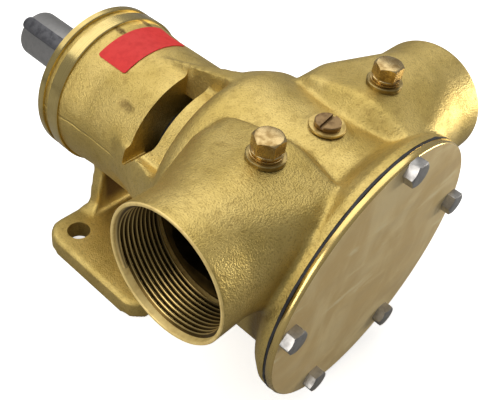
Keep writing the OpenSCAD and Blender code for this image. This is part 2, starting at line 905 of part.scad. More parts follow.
// Slot on the shaft that starts at a radius and a station, with Z away from the axis.
module key_box(width, floor_r, height, from, length, angle) {
    at_station(from)
        rotate([0, 90 - angle, 0])
            translate([-width / 2, 0, floor_r])
                cube([width, length, height]);
}

// Key with round ends that lies along the shaft.
module round_key(width, floor_r, height, from, length, angle) {
    at_station(from)
        rotate([0, 90 - angle, 0])
            translate([0, 0, floor_r])
                linear_extrude(height)
                    union() {
                        translate([-width / 2, width / 2])
                            square([width, length - width]);
                        for (end = [width / 2, length - width / 2])
                            translate([0, end])
                                circle(d = width, $fn = fine);
                    }
}

module shaft() {
    drive_r = shaft_drive_d / 2;
    color("gray")
        difference() {
            turned([[0, y_shaft_front], [shaft_r - shaft_chamfer, y_shaft_front],
                    [shaft_r, y_shaft_front + shaft_chamfer],
                    [shaft_r, y_bearing_1 - shaft_collar_w],
                    [shaft_collar_d / 2, y_bearing_1 - shaft_collar_w],
                    [shaft_collar_d / 2, y_bearing_1], [journal_r, y_bearing_1],
                    [journal_r, y_rear], [drive_r, y_rear],
                    [drive_r, y_shaft_end - shaft_chamfer],
                    [drive_r - shaft_chamfer, y_shaft_end], [0, y_shaft_end]]);
            ring(shaft_r + overrun, shaft_r - clip_depth, y_insert_front - clip_t - seat_gap,
                 y_insert_front + seat_gap);
            ring(journal_r + overrun, journal_r - clip_depth, y_ring,
                 y_ring + clip_t + 2 * seat_gap);
            round_key(key_w + 2 * seat_gap, drive_r - key_h * key_seat_share, key_h,
                      y_key - seat_gap, key_l + 2 * seat_gap, key_angle);
            round_key(impeller_key_w + 2 * seat_gap, shaft_r - impeller_key_w / 2,
                      impeller_key_w, y_impeller_key - seat_gap,
                      impeller_key_l + 2 * seat_gap, impeller_key_angle);
        }
}

module drive_key() {
    color("dimgray")
        round_key(key_w, shaft_drive_d / 2 - key_h * key_seat_share + seat_gap, key_h,
                  y_key, key_l, key_angle);
}

module impeller_key() {
    color("dimgray")
        round_key(impeller_key_w, shaft_r - impeller_key_w / 2 + seat_gap, impeller_key_w,
                  y_impeller_key, impeller_key_l, impeller_key_angle);
}

module impeller_insert() {
    color("goldenrod")
        difference() {
            ring(insert_d / 2, shaft_r + seat_gap, y_insert_front, y_impeller_back);
            key_box(impeller_key_w + 2 * seat_gap, 0, shaft_r + impeller_key_w / 2 + 2 * seat_gap,
                    y_insert_front - overrun, y_impeller_back - y_insert_front + 2 * overrun,
                    impeller_key_angle);
        }
}

// Largest radius of the middle of a tip bead at an angle, below the cam or the chamber wall.
function bead_radius(angle) =
    min(chamber_r, sin(angle) > cam_face_z / chamber_r ? cam_face_z / sin(angle) : chamber_r)
    - running_gap - vane_bead_r;

// Angle by which the tip of a vane trails behind its root, for its reach and its tip radius.
function vane_lean(root_r, reach, tip_r) =
    acos(min(1, (root_r * root_r + tip_r * tip_r - reach * reach) / (2 * root_r * tip_r)));

// One vane seen along the shaft, bent back as far as the wall above it asks.
module vane(angle) {
    root_r = impeller_hub_d / 2 - vane_root_t / 4;
    reach = chamber_r - running_gap - vane_bead_r - root_r;
    tip_r = bead_radius(angle);
    lean = vane_lean(root_r, reach, tip_r);
    tip_angle = angle + lean;
    root = root_r * [cos(angle), sin(angle)];
    tip = tip_r * [cos(tip_angle), sin(tip_angle)];
    axis = (tip - root) / norm(tip - root);
    side = [-axis[1], axis[0]];
    polygon([root + side * vane_root_t / 2, root - side * vane_root_t / 2,
             tip - side * vane_tip_t / 2, tip + side * vane_tip_t / 2]);
    translate(tip)
        circle(r = vane_bead_r, $fn = fine);
}

module impeller() {
    color("darkslategray")
        difference() {
            along_shaft(y_impeller_front)
                linear_extrude(y_impeller_back - y_impeller_front)
                    mirror([0, 1])
                        union() {
                            circle(d = impeller_hub_d, $fn = fine);
                            for (i = [0:vane_n - 1])
                                vane(vane_start + 360 * i / vane_n);
                        }
            bar(insert_d / 2 + seat_gap, y_impeller_front - overrun, y_impeller_back + overrun);
        }
}

// Split ring that sits in a groove of a shaft or of a bore.
module split_ring(outer_r, inner_r, from, gap, angle) {
    difference() {
        ring(outer_r, inner_r, from, from + clip_t);
        key_box(gap, inner_r - overrun, outer_r - inner_r + 2 * overrun, from - overrun,
                clip_t + 2 * overrun, angle);
    }
}

module impeller_circlip() {
    color("silver")
        split_ring(shaft_r + clip_depth, shaft_r - clip_depth + seat_gap,
                   y_insert_front - clip_t, clip_gap, -90);
}

module shaft_circlip() {
    color("silver")
        split_ring(journal_r + 2 * clip_depth, journal_r - clip_depth + seat_gap,
                   y_ring + seat_gap, clip_gap, -90);
}

module housing_circlip() {
    color("silver")
        split_ring(bearing_od / 2 + housing_ring_t - seat_gap,
                   bearing_od / 2 - 2 * clip_depth, y_ring + seat_gap, clip_gap * 2, 90);
}

module water_slinger() {
    color("black")
        ring(slinger_d / 2, shaft_r + seat_gap, y_slinger, y_slinger + slinger_t);
}

// Round groove that the balls of a bearing run in.
module bearing_groove(station) {
    along_shaft(station + bearing_w / 2)
        rotate_extrude($fn = fine)
            translate([bearing_pitch_r, 0])
                circle(d = ball_d + running_gap, $fn = fine);
}

module bearing_outer_ring(station) {
    difference() {
        ring(bearing_od / 2 - seat_gap, bearing_pitch_r + race_gap, station,
             station + bearing_w);
        bearing_groove(station);
    }
}

module bearing_inner_ring(station) {
    difference() {
        ring(bearing_pitch_r - race_gap, journal_r + seat_gap, station, station + bearing_w);
        bearing_groove(station);
    }
}

// Balls of one bearing, with their diameter changed by a growth.
module bearing_balls(station, growth = 0) {
    for (i = [0:ball_n - 1])
        at_station(station + bearing_w / 2)
            rotate([0, 360 * i / ball_n, 0])
                translate([0, 0, bearing_pitch_r])
                    sphere(d = ball_d + growth, $fn = fine);
}

module bearing_cage(station) {
    difference() {
        ring(bearing_pitch_r + cage_t / 2, bearing_pitch_r - cage_t / 2,
             station + (bearing_w - cage_w) / 2, station + (bearing_w + cage_w) / 2);
        bearing_balls(station, 2 * fit_gap);
    }
}

module front_bearing_outer_ring() {
    color("silver")
        bearing_outer_ring(y_bearing_1);
}

module front_bearing_inner_ring() {
    color("silver")
        bearing_inner_ring(y_bearing_1);
}

module front_bearing_balls() {
    color("gainsboro")
        bearing_balls(y_bearing_1);
}

module front_bearing_cage() {
    color("goldenrod")
        bearing_cage(y_bearing_1);
}

module rear_bearing_outer_ring() {
    color("silver")
        bearing_outer_ring(y_bearing_2);
}

module rear_bearing_inner_ring() {
    color("silver")
        bearing_inner_ring(y_bearing_2);
}

module rear_bearing_balls() {
    color("gainsboro")
        bearing_balls(y_bearing_2);
}

module rear_bearing_cage() {
    color("goldenrod")
        bearing_cage(y_bearing_2);
}

module bearing_spacer() {
    color("gray")
        ring(journal_r + spacer_wall, journal_r + seat_gap, y_bearing_1 + bearing_w,
             y_bearing_2);
}

module rear_shaft_seal() {
    color("black")
        turned([[bearing_od / 2 - seat_gap, y_rear_seal + seat_gap],
                [bearing_od / 2 - seat_gap, y_rear_seal + rear_seal_w],
                [journal_r + fit_gap, y_rear_seal + rear_seal_w],
                [journal_r + fit_gap, y_rear_seal + rear_seal_w / 2],
                [journal_r + 2 * clip_depth, y_rear_seal + rear_seal_w / 2],
                [journal_r + 2 * clip_depth, y_rear_seal + seat_gap]]);
}

// Radius of the outside of the neck at a station.
function neck_radius(station) =
    neck_r + neck_flare * max(0, station - y_neck_bend) / neck_flare_l;

// Thin curved plate on top of the bearing housing.
module red_label() {
    stations = [y_label, min(max(y_neck_bend, y_label + label_t), y_label + label_w - label_t),
                y_label + label_w];
    color("red")
        along_shaft()
            rotate([0, 0, -90 - label_angle / 2])
                rotate_extrude(angle = label_angle, $fn = fine)
                    polygon(concat([for (y = stations) [neck_radius(y) + seat_gap, y]],
                                   [for (i = [2:-1:0])
                                       [neck_radius(stations[i]) + label_t, stations[i]]]));
}

pump_housing();
end_cover();
cover_gasket();
cover_screws();
port_plug_left();
port_plug_right();
port_plug_washers();
cam();
cam_screw();
cam_screw_washer();
wear_plate();
wear_plate_pin();
seal_seat();
seal_seat_cup();
seal_face();
seal_bellows();
seal_spring();
seal_spring_cup();
shaft();
drive_key();
impeller_key();
impeller_insert();
impeller();
impeller_circlip();
water_slinger();
front_bearing_outer_ring();
front_bearing_inner_ring();
front_bearing_balls();
front_bearing_cage();
bearing_spacer();
rear_bearing_outer_ring();
rear_bearing_inner_ring();
rear_bearing_balls();
rear_bearing_cage();
housing_circlip();
shaft_circlip();
rear_shaft_seal();
red_label();
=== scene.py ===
"""Looks of a foot mounted flexible impeller pump with a cast brass body.

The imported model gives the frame: the shaft runs along Y with the cover at the low end, Z is up and
the foot stands on zero. Lengths are in metres. Stations along the shaft, and the runs that are
added to them, are in millimetres.
"""
import json
import logging
import math
from collections.abc import Callable
from dataclasses import dataclass, field
from enum import Enum, IntEnum

import bmesh
import bpy
from mathutils import Euler, Matrix, Vector


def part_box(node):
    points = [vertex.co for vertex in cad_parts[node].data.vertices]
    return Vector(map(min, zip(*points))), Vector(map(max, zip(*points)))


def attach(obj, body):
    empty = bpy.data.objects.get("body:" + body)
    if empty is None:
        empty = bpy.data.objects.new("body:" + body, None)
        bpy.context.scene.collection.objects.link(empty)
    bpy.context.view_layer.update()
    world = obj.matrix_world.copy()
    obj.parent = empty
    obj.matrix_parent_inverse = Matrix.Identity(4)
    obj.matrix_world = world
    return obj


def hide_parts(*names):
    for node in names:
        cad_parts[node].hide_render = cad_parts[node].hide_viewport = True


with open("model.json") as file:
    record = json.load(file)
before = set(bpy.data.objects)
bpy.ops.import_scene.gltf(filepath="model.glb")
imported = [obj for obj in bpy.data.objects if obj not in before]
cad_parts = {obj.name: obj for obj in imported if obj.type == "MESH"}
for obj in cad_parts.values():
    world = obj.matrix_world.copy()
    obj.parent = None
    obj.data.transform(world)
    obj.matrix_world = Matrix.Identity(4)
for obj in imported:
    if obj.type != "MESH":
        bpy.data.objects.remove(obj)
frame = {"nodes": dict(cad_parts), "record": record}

LOG = logging.getLogger("pump")
MM = 0.001
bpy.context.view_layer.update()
X_AXIS, Y_AXIS, Z_AXIS = Vector((1, 0, 0)), Vector((0, 1, 0)), Vector((0, 0, 1))
STILL_BODY = "pump_body"
TURNING_BODY = "rotor"


def shaft_height() -> float:
    """Height of the shaft axis, read from the round cover."""
    low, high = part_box("end_cover")
    return (low.z + high.z) / 2


SHAFT_Z = shaft_height()
PORT_Y = -87.5 * MM
PORT_Z = SHAFT_Z + 33.2 * MM
PORT_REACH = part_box("pump_housing")[1].x


def station(distance: float) -> float:
    """Place on Y of a station that is measured in millimetres back from the port axis."""
    return PORT_Y + distance * MM


class Value:
    """Output of a shader node that Python operators work on."""

    def __init__(self, shader: "Shader", socket: bpy.types.NodeSocket) -> None:
        """Keeps the material under construction and the output of its node."""
        self.shader = shader
        self.socket = socket

    def _maths(self, operation: str, first: object, second: object) -> "Value":
        """Adds one Math node for two values."""
        return self.shader.node("ShaderNodeMath", {"operation": operation}, {0: first, 1: second})

    def __add__(self, other: object) -> "Value":
        """Sum of two values."""
        return self._maths("ADD", self, other)

    __radd__ = __add__

    def __sub__(self, other: object) -> "Value":
        """Difference of two values."""
        return self._maths("SUBTRACT", self, other)

    def __rsub__(self, other: object) -> "Value":
        """Reflected difference."""
        return self._maths("SUBTRACT", other, self)

    def __mul__(self, other: object) -> "Value":
        """Product of two values."""
        return self._maths("MULTIPLY", self, other)

    __rmul__ = __mul__

    def call(self, operation: str) -> "Value":
        """Result of a Math node with one input, such as SQRT or SINE."""
        return self.shader.node("ShaderNodeMath", {"operation": operation}, {0: self})


class Shader:
    """Material under construction, with one Principled surface."""

    def __init__(self, name: str) -> None:
        """Starts a material whose node tree holds only its surface and output.

        Args:
            name: the material's name.
        """
        self.material = bpy.data.materials.new(name)
        self.material.use_nodes = True
        self.tree = self.material.node_tree
        self.tree.nodes.clear()
        self.surface = self.tree.nodes.new("ShaderNodeBsdfPrincipled")
        output = self.tree.nodes.new("ShaderNodeOutputMaterial")
        self.tree.links.new(self.surface.outputs[0], output.inputs["Surface"])

    def node(self, kind: str, settings: dict | None = None, inputs: dict | None = None,
             output: int | str = 0) -> Value:
        """Adds any node.

        Args:
            kind: type of the node.
            settings: attributes of the node, which are set first.
            inputs: values or links by the socket's name or number.
            output: the socket that is wanted.

        Returns:
            The wanted output as a value.
        """
        made = self.tree.nodes.new(kind)
        for key, setting in (settings or {}).items():
            setattr(made, key, setting)
        for key, entry in (inputs or {}).items():
            if isinstance(entry, Value):
                self.tree.links.new(entry.socket, made.inputs[key])
            else:
                made.inputs[key].default_value = entry
        return Value(self, made.outputs[output])

    def feed(self, name: str, entry: object) -> None:
        """Sets a socket of the surface to a number or colour, or links a value to it.

        Args:
            name: the socket's name.
            entry: a number, a colour or a value.
        """
        if isinstance(entry, Value):
            self.tree.links.new(entry.socket, self.surface.inputs[name])
        elif isinstance(entry, tuple):
            self.surface.inputs[name].default_value = (*entry, 1)
        else:
            self.surface.inputs[name].default_value = entry

    def place(self, scale: tuple = (1, 1, 1), turn: tuple = (0, 0, 0),
              centre: tuple = (0, 0, 0)) -> Value:
        """Object coordinates moved to a centre, turned and scaled.

        Args:
            scale: scale of the coordinates along each axis.
            turn: turn of the coordinates, in radians.
            centre: the point that becomes zero.

        Returns:
            The coordinates as a value.
        """
        spot = self.node("ShaderNodeTexCoord", output="Object")
        moved = self.node("ShaderNodeVectorMath", {"operation": "SUBTRACT"}, {0: spot, 1: centre})
        return self.node("ShaderNodeMapping", {"vector_type": "POINT"},
                         {"Vector": moved, "Rotation": turn, "Scale": scale})

    def axes(self, vector: Value) -> tuple[Value, Value, Value]:
        """The three parts of a vector.

        Args:
            vector: the value to take apart.

        Returns:
            X, Y and Z as values.
        """
        made = self.tree.nodes.new("ShaderNodeSeparateXYZ")
        self.tree.links.new(vector.socket, made.inputs[0])
        return tuple(Value(self, made.outputs[i]) for i in range(3))

    def noise(self, vector: Value, grain: float, detail: float = 3, rough: float = 0.5,
              bend: float = 0) -> Value:
        """Noise whose lumps are about grain metres across, from 0 to 1.

        Args:
            vector: coordinates that the noise is read at.
            grain: size of the lumps in metres.
            detail: number of finer layers.
            rough: strength of the finer layers.
            bend: how far the lumps are distorted.

        Returns:
            The noise as a value.
        """
        return self.node("ShaderNodeTexNoise", {"noise_dimensions": "3D"},
                         {"Vector": vector, "Scale": 1 / grain, "Detail": detail,
                          "Roughness": rough, "Distortion": bend})

    def spots(self, vector: Value, grain: float) -> Value:
        """Distance to the nearest of scattered points that lie about grain metres apart."""
        return self.node("ShaderNodeTexVoronoi", {"feature": "F1"},
                         {"Vector": vector, "Scale": 1 / grain})

    def span(self, entry: Value, low: float, high: float, first: float = 0,
             last: float = 1) -> Value:
        """Smooth step from first at low to last at high.

        Args:
            entry: the value to step.
            low: its lower end.
            high: its upper end.
            first: result at the lower end.
            last: result at the upper end.

        Returns:
            The stepped value.
        """
        return self.node("ShaderNodeMapRange", {"interpolation_type": "SMOOTHSTEP"},
                         {"Value": entry, "From Min": low, "From Max": high, "To Min": first,
                          "To Max": last})

    def blend(self, share: object, first: object, second: object) -> Value:
        """Mixes two colours by a share.

        Args:
            share: share of the second colour.
            first: colour at share 0.
            second: colour at share 1.

        Returns:
            The mixed colour as a value.
        """
        made = self.tree.nodes.new("ShaderNodeMix")
        made.data_type = "RGBA"
        for socket, entry in ((made.inputs[0], share), (made.inputs[6], first),
                              (made.inputs[7], second)):
            if isinstance(entry, Value):
                self.tree.links.new(entry.socket, socket)
            else:
                socket.default_value = (*entry, 1) if isinstance(entry, tuple) else entry
        return Value(self, made.outputs[2])

    def relief(self, height: Value, depth: float, strength: float = 1,
               under: Value | None = None) -> Value:
        """Bump of a height in metres, laid over another bump if one is given.

        Args:
            height: the height as a value.
            depth: metres that a height of 1 stands for.
            strength: share of the relief that shows.
            under: the bump below it, if any.

        Returns:
            The bent normal as a value.
        """
        inputs = {"Height": height, "Distance": depth, "Strength": strength}
        if under is not None:
            inputs["Normal"] = under
        return self.node("ShaderNodeBump", {}, inputs)

    def shaft_radius(self) -> Value:
        """Distance of a point from the shaft axis."""
        x, _, z = self.axes(self.place(centre=(0, 0, SHAFT_Z)))
        return (x * x + z * z).call("SQRT")


def near(shader: Shader, centre: Vector, reach: float, stretch: tuple = (1, 1, 1)) -> Value:
    """Share that is 1 at a centre and falls to 0 at a reach from it.

    Args:
        shader: the material under construction.
        centre: the point where the share is 1.
        reach: distance at which it is 0.
        stretch: scale of the distance along each axis.

    Returns:
        The share as a value.
    """
    spot = shader.place(scale=stretch, centre=tuple(centre))
    length = shader.node("ShaderNodeVectorMath", {"operation": "LENGTH"}, {0: spot}, output=1)
    return shader.span(length, reach * 0.35, reach, 1, 0)


class Face(IntEnum):
    """Kinds of face on the casting, by the number of their material."""

    CAST = 0
    MACHINED = 1
    BORED = 2
    LIP = 3


FaceRule = Callable[[bpy.types.MeshPolygon], int]


def always(kind: Face) -> FaceRule:
    """Rule that gives every face of a tool one kind."""
    return lambda face: kind


class Grain(Enum):
    """How a plain finish is worked."""

    TURNED = "turned"
    GROUND = "ground"
    MOULDED = "moulded"


@dataclass(frozen=True)
class CastBrass:
    """Sand cast brass, shot blasted, with a fine grain and small casting marks."""

    light: tuple = (0.70, 0.535, 0.19)
    middle: tuple = (0.56, 0.415, 0.125)
    dark: tuple = (0.30, 0.20, 0.055)
    # Colour of the brown stains, also used for the painted shade in the valleys and on the rear leg.
    stain_and_shade: tuple = (0.13, 0.075, 0.03)

    def material(self) -> bpy.types.Material:
        """Builds the material.

        Returns:
            The finished material.
        """
        s = Shader("cast_brass")
        spot = s.place()
        cloud = s.noise(spot, 30 * MM, 4, 0.6)
        mottle = s.noise(spot, 5 * MM, 4, 0.65)
        grit = s.noise(spot, 0.75 * MM, 2, 0.55)
        lumps = s.noise(spot, 2.4 * MM, 3, 0.5)
        colour = s.blend(s.span(cloud, 0.35, 0.68), self.middle, self.light)
        colour = s.blend(s.span(mottle, 0.5, 0.72, 0, 0.35), colour, self.dark)
        colour = s.blend(s.span(grit, 0.28, 0.5, 0.5, 0), colour, self.dark)
        marks = self._stains(s)
        colour = s.blend(marks, colour, self.stain_and_shade)
        # Painted shade: the valleys behind the flange and the front of the rear leg are darkened
        # with the stain colour.
        colour = s.blend(self._painted_shade(s), colour, self.stain_and_shade)
        s.feed("Base Color", colour)
        s.feed("Metallic", 1.0)
        s.feed("Roughness", s.span(mottle, 0.3, 0.7, 0.42, 0.52) + marks * 0.2)
        under = s.relief(self._dents(s), 1.0)
        under = s.relief(lumps, 0.15 * MM, 1, under)
        s.feed("Normal", s.relief(grit, 0.27 * MM, 1, under))
        return s.material

    def _stains(self, s: Shader) -> Value:
        """Brown marks in front of the band and the burnt spot on the neck.

        Args:
            s: the material under construction.

        Returns:
            Share of stain as a value.
        """
        ragged = s.span(s.noise(s.place(), 1.6 * MM, 3), 0.38, 0.62, 0.6, 1)
        first = near(s, Vector((-3.5 * MM, station(131), SHAFT_Z + 42 * MM)), 4.4 * MM,
                     (1.6, 0.7, 1))
        second = near(s, Vector((15 * MM, station(131.5), SHAFT_Z + 39.5 * MM)), 4.6 * MM,
                      (1.4, 0.7, 1))
        burnt = near(s, Vector((-31 * MM, station(95.5), SHAFT_Z + 28 * MM)), 6 * MM,
                     (1.6, 0.75, 1.6))
        return (first + second + burnt * 0.6) * ragged * 0.9

    def _painted_shade(self, s: Shader) -> Value:
        """Painted shade: darker colour in the valleys behind the flange and on the front of the rear
        leg, where shade falls.

        Args:
            s: the material under construction.

        Returns:
            Share of painted shade as a value.
        """
        x, y, z = s.axes(s.place(centre=(0, 0, SHAFT_Z)))
        side = x.call("ABSOLUTE")
        low, high = station(-34), station(-15)
        valley = s.span(y, low, low + 7 * MM) * s.span(y, high - 7 * MM, high, 1, 0)
        valley = valley * s.span(side, 30 * MM, 46 * MM) * s.span(z, 22 * MM, 34 * MM, 1, 0)
        leg = s.span(y, 24 * MM, 28.5 * MM) * s.span(y, 30.5 * MM, 33 * MM, 1, 0)
        leg = leg * s.span(z, -62 * MM, -52 * MM) * s.span(z, -26 * MM, -18 * MM, 1, 0)
        leg = leg * s.span(side, 23 * MM, 28 * MM, 1, 0)
        return valley * 0.75 + leg * 0.95

    def _dents(self, s: Shader) -> Value:
        """Depth of the dent on the neck and of the seam that the mould halves left.

        Args:
            s: the material under construction.

        Returns:
            Height in metres as a value.
        """
        x, y, z = s.axes(s.place(centre=(0, 0, SHAFT_Z)))
        wave = s.noise(s.place(), 9 * MM, 2) * (2.4 * MM)
        across = (z - 4.6 * MM + wave).call("ABSOLUTE")
        seam = s.span(across, 0, 0.9 * MM, 1, 0)
        seam = seam * s.span(x, -30 * MM, -34 * MM) * s.span(y, station(86), station(92))
        dent = near(s, Vector((-31 * MM, station(95.5), SHAFT_Z + 28 * MM)), 5 * MM,
                    (1.6, 0.75, 1.6))
        return (seam * 0.3 + dent * 0.4) * (-1 * MM)


@dataclass(frozen=True)
class TurnedMetal:
    """Metal turned around the shaft, with fine rings from the tool."""

    name: str
    light: tuple
    dark: tuple
    roughness: float = 0.2
    tarnish: float = 0.3

    def material(self) -> bpy.types.Material:
        """Builds the material.

        Returns:
            The finished material.
        """
        s = Shader(self.name)
        spot = s.place()
        radius = s.shaft_radius()
        _, y, _ = s.axes(spot)
        rings_at = s.node("ShaderNodeCombineXYZ", {}, {0: radius, 1: y, 2: 0.0})
        rings = s.noise(rings_at, 0.35 * MM, 2, 0.6)
        cloud = s.noise(spot, 16 * MM, 4, 0.6)
        colour = s.blend(s.span(cloud, 0.4, 0.7, 0, self.tarnish), self.light, self.dark)
        colour = s.blend(s.span(rings, 0.35, 0.6, 0.25, 0), colour, self.dark)
        s.feed("Base Color", colour)
        s.feed("Metallic", 1.0)
        s.feed("Roughness", s.span(cloud, 0.3, 0.7, self.roughness, self.roughness + 0.12))
        s.feed("Normal", s.relief(rings, 0.012 * MM))
        return s.material


@dataclass(frozen=True)
class BoredBrass:
    """Tarnished inside of the ports and chamber, with painted shade deeper in and bright crests on
    the thread.
    """

    crest: tuple = (0.74, 0.55, 0.22)
    wall: tuple = (0.12, 0.075, 0.02)
    # Colour of the painted shade deep inside the bore.
    painted_deep_shade: tuple = (0.03, 0.02, 0.008)
    crest_r: float = 28.33 * MM

    def material(self) -> bpy.types.Material:
        """Builds the material.

        Returns:
            The finished material.
        """
        s = Shader("bored_brass")
        spot = s.place()
        x, y, z = s.axes(s.place(centre=(0, PORT_Y, PORT_Z)))
        radius = (y * y + z * z).call("SQRT")
        along = x.call("ABSOLUTE")
        cloud = s.noise(spot, 7 * MM, 4, 0.6)
        # Painted shade: the colour darkens from the mouth inwards.
        depth = s.span(along, 60 * MM, 92 * MM, 1, 0.35)
        colour = s.blend(depth, self.wall, self.painted_deep_shade)
        colour = s.blend(s.span(cloud, 0.4, 0.7, 0, 0.5), colour, self.wall)
        # Crests are lighter metal, and their share grows towards the mouth as a painted highlight.
        on_crest = s.span(radius, self.crest_r + 0.12 * MM, self.crest_r + 0.5 * MM, 1, 0)
        on_crest = on_crest * s.span(along, 66 * MM, 90 * MM, 0.1, 0.8)
        colour = s.blend(on_crest, colour, self.crest)
        at_mouth = s.span(along, 91.9 * MM, 92.7 * MM)
        colour = s.blend(at_mouth, colour, self.crest)
        s.feed("Base Color", colour)
        s.feed("Metallic", 1.0 - at_mouth * 0.5)
        s.feed("Roughness", s.span(cloud, 0.3, 0.7, 0.28, 0.42))
        s.feed("Normal", s.relief(s.noise(spot, 0.8 * MM, 2, 0.5), 0.02 * MM))
        return s.material


@dataclass(frozen=True)
class CoverFace:
    """Faced cover plate, dulled and mottled, with faint sanding marks."""

    light: tuple = (0.93, 0.73, 0.37)
    warm: tuple = (0.80, 0.58, 0.25)
    pale: tuple = (0.94, 0.84, 0.54)

    def material(self) -> bpy.types.Material:
        """Builds the material.

        Returns:
            The finished material.
        """
        s = Shader("cover_face")
        blot = s.noise(s.place((1, 1, 0.6), (0, 0.7, 0)), 32 * MM, 3, 0.6, 0.8)
        sweep = s.noise(s.place((0.35, 1, 1.6), (0, 0.9, 0)), 12 * MM, 5, 0.65, 0.4)
        marks = s.noise(s.place((0.08, 1, 1), (0, 0.9, 0)), 0.7 * MM, 2, 0.5)
        pits = s.spots(s.place(), 2.2 * MM)
        colour = s.blend(s.span(blot, 0.38, 0.66), self.warm, self.light)
        colour = s.blend(s.span(sweep, 0.55, 0.72, 0, 0.65), colour, self.pale)
        colour = s.blend(s.span(pits, 0.03, 0.1, 0.35, 0), colour, self.warm)
        s.feed("Base Color", colour)
        s.feed("Metallic", 0.45)
        s.feed("Roughness", s.span(sweep, 0.35, 0.7, 0.36, 0.5))
        under = s.relief(sweep, 0.12 * MM, 0.6)
        s.feed("Normal", s.relief(marks, 0.012 * MM, 0.8, under))
        return s.material


@dataclass(frozen=True)
class PlainFinish:
    """Finish of a small or inner piece: two colours, a grain and fine marks."""

    name: str
    colour: tuple
    shade: tuple
    metallic: float
    roughness: float
    grain: Grain = Grain.GROUND
    depth: float = 0.01 * MM

    def material(self) -> bpy.types.Material:
        """Builds the material.

        Returns:
            The finished material.
        """
        s = Shader(self.name)
        cloud = s.noise(s.place(), 4 * MM, 4, 0.6)
        stretch = {Grain.TURNED: (1, 6, 1), Grain.GROUND: (1, 0.12, 1), Grain.MOULDED: (1, 1, 1)}
        fine = s.noise(s.place(stretch[self.grain]), 0.5 * MM, 2, 0.5)
        colour = s.blend(s.span(cloud, 0.4, 0.7), self.colour, self.shade)
        s.feed("Base Color", s.blend(s.span(fine, 0.3, 0.55, 0.25, 0), colour, self.shade))
        s.feed("Metallic", self.metallic)
        s.feed("Roughness", s.span(cloud, 0.3, 0.7, self.roughness, self.roughness + 0.12))
        s.feed("Normal", s.relief(fine, self.depth))
        return s.material


def deselect() -> None:
    """Leaves edit mode and deselects every object."""
    if bpy.context.mode != "OBJECT":
        bpy.ops.object.mode_set(mode="OBJECT")
    bpy.ops.object.select_all(action="DESELECT")


def activate(piece: bpy.types.Object) -> None:
    """Makes one piece the only selected and active object.

    Args:
        piece: the object to work on.
    """
    deselect()
    piece.select_set(True)
    bpy.context.view_layer.objects.active = piece


def apply_place(piece: bpy.types.Object) -> None:
    """Moves a piece's place, turn and scale into its mesh."""
    activate(piece)
    bpy.ops.object.transform_apply(location=True, rotation=True, scale=True)


def modify(piece: bpy.types.Object, kind: str, **settings: object) -> None:
    """Adds one modifier with its settings and applies it.

    Args:
        piece: the object to change.
        kind: type of the modifier.
        settings: attributes of the modifier.
    """
    activate(piece)
    modifier = piece.modifiers.new(kind.lower(), kind)
    for key, setting in settings.items():
        setattr(modifier, key, setting)
    bpy.ops.object.modifier_apply(modifier=modifier.name)


def join(pieces: list[bpy.types.Object], name: str) -> bpy.types.Object:
    """Joins pieces into the first and names it.

    Args:
        pieces: the objects to join.
        name: name of the result.

    Returns:
        The joined object.
    """
    deselect()
    for piece in pieces:
        piece.select_set(True)
    bpy.context.view_layer.objects.active = pieces[0]
    bpy.ops.object.join()
    pieces[0].name = name
    return pieces[0]


def hull(pieces: list[bpy.types.Object], name: str) -> bpy.types.Object:
    """Joins pieces and stretches one convex skin over them.

    Args:
        pieces: the solids to cover.
        name: name of the new piece.

    Returns:
        The skin as a closed solid.
    """
    skin = join(pieces, name)
    activate(skin)
    bpy.ops.object.mode_set(mode="EDIT")
    bpy.ops.mesh.select_all(action="SELECT")
    bpy.ops.mesh.convex_hull()
    deselect()
    return skin


def combine(piece: bpy.types.Object, tool: bpy.types.Object, operation: str,
            finish: FaceRule | None = None) -> None:
    """Cuts a tool from a piece or fuses it on, and removes the tool.

    Args:
        piece: the object to change.
        tool: the closed solid to use.
        operation: DIFFERENCE, UNION or INTERSECT.
        finish: function that gives the number of the finish for a face of the tool.
    """
    if finish is not None:
        dress(tool, *piece.data.materials)
        for face in tool.data.polygons:
            face.material_index = finish(face)
    modify(piece, "BOOLEAN", object=tool, operation=operation, solver="MANIFOLD",
           material_mode="INDEX")
    bpy.data.objects.remove(tool)


def tidy(piece: bpy.types.Object, angle: float = 32) -> bpy.types.Object:
    """Merges doubles, points faces outwards and smooths all but sharp edges.

    Args:
        piece: the object to clean.
        angle: edges steeper than this many degrees stay sharp.

    Returns:
        The same object.
    """
    activate(piece)
    bpy.ops.object.mode_set(mode="EDIT")
    bpy.ops.mesh.select_all(action="SELECT")
    bpy.ops.mesh.remove_doubles(threshold=1e-6)
    bpy.ops.mesh.normals_make_consistent(inside=False)
    bpy.ops.object.mode_set(mode="OBJECT")
    bpy.ops.object.shade_smooth_by_angle(angle=math.radians(angle))
    return piece


@dataclass(frozen=True)
class Axle:
    """Line that an outline is turned around, with the direction that its radius points in."""

    centre: Vector
    along: Vector
    arm: Vector

    def at(self, radius: float, height: float) -> Vector:
        """Point at a radius and a height on the line."""
        return self.centre + self.arm * radius + self.along * height


SHAFT_AXLE = Axle(Vector((0, 0, SHAFT_Z)), Y_AXIS, X_AXIS)


def port_axle(side: int) -> Axle:
    """Axle of a port that points out of its mouth; side is 1 for the far port."""
    return Axle(Vector((0, PORT_Y, PORT_Z)), X_AXIS * side, Z_AXIS)


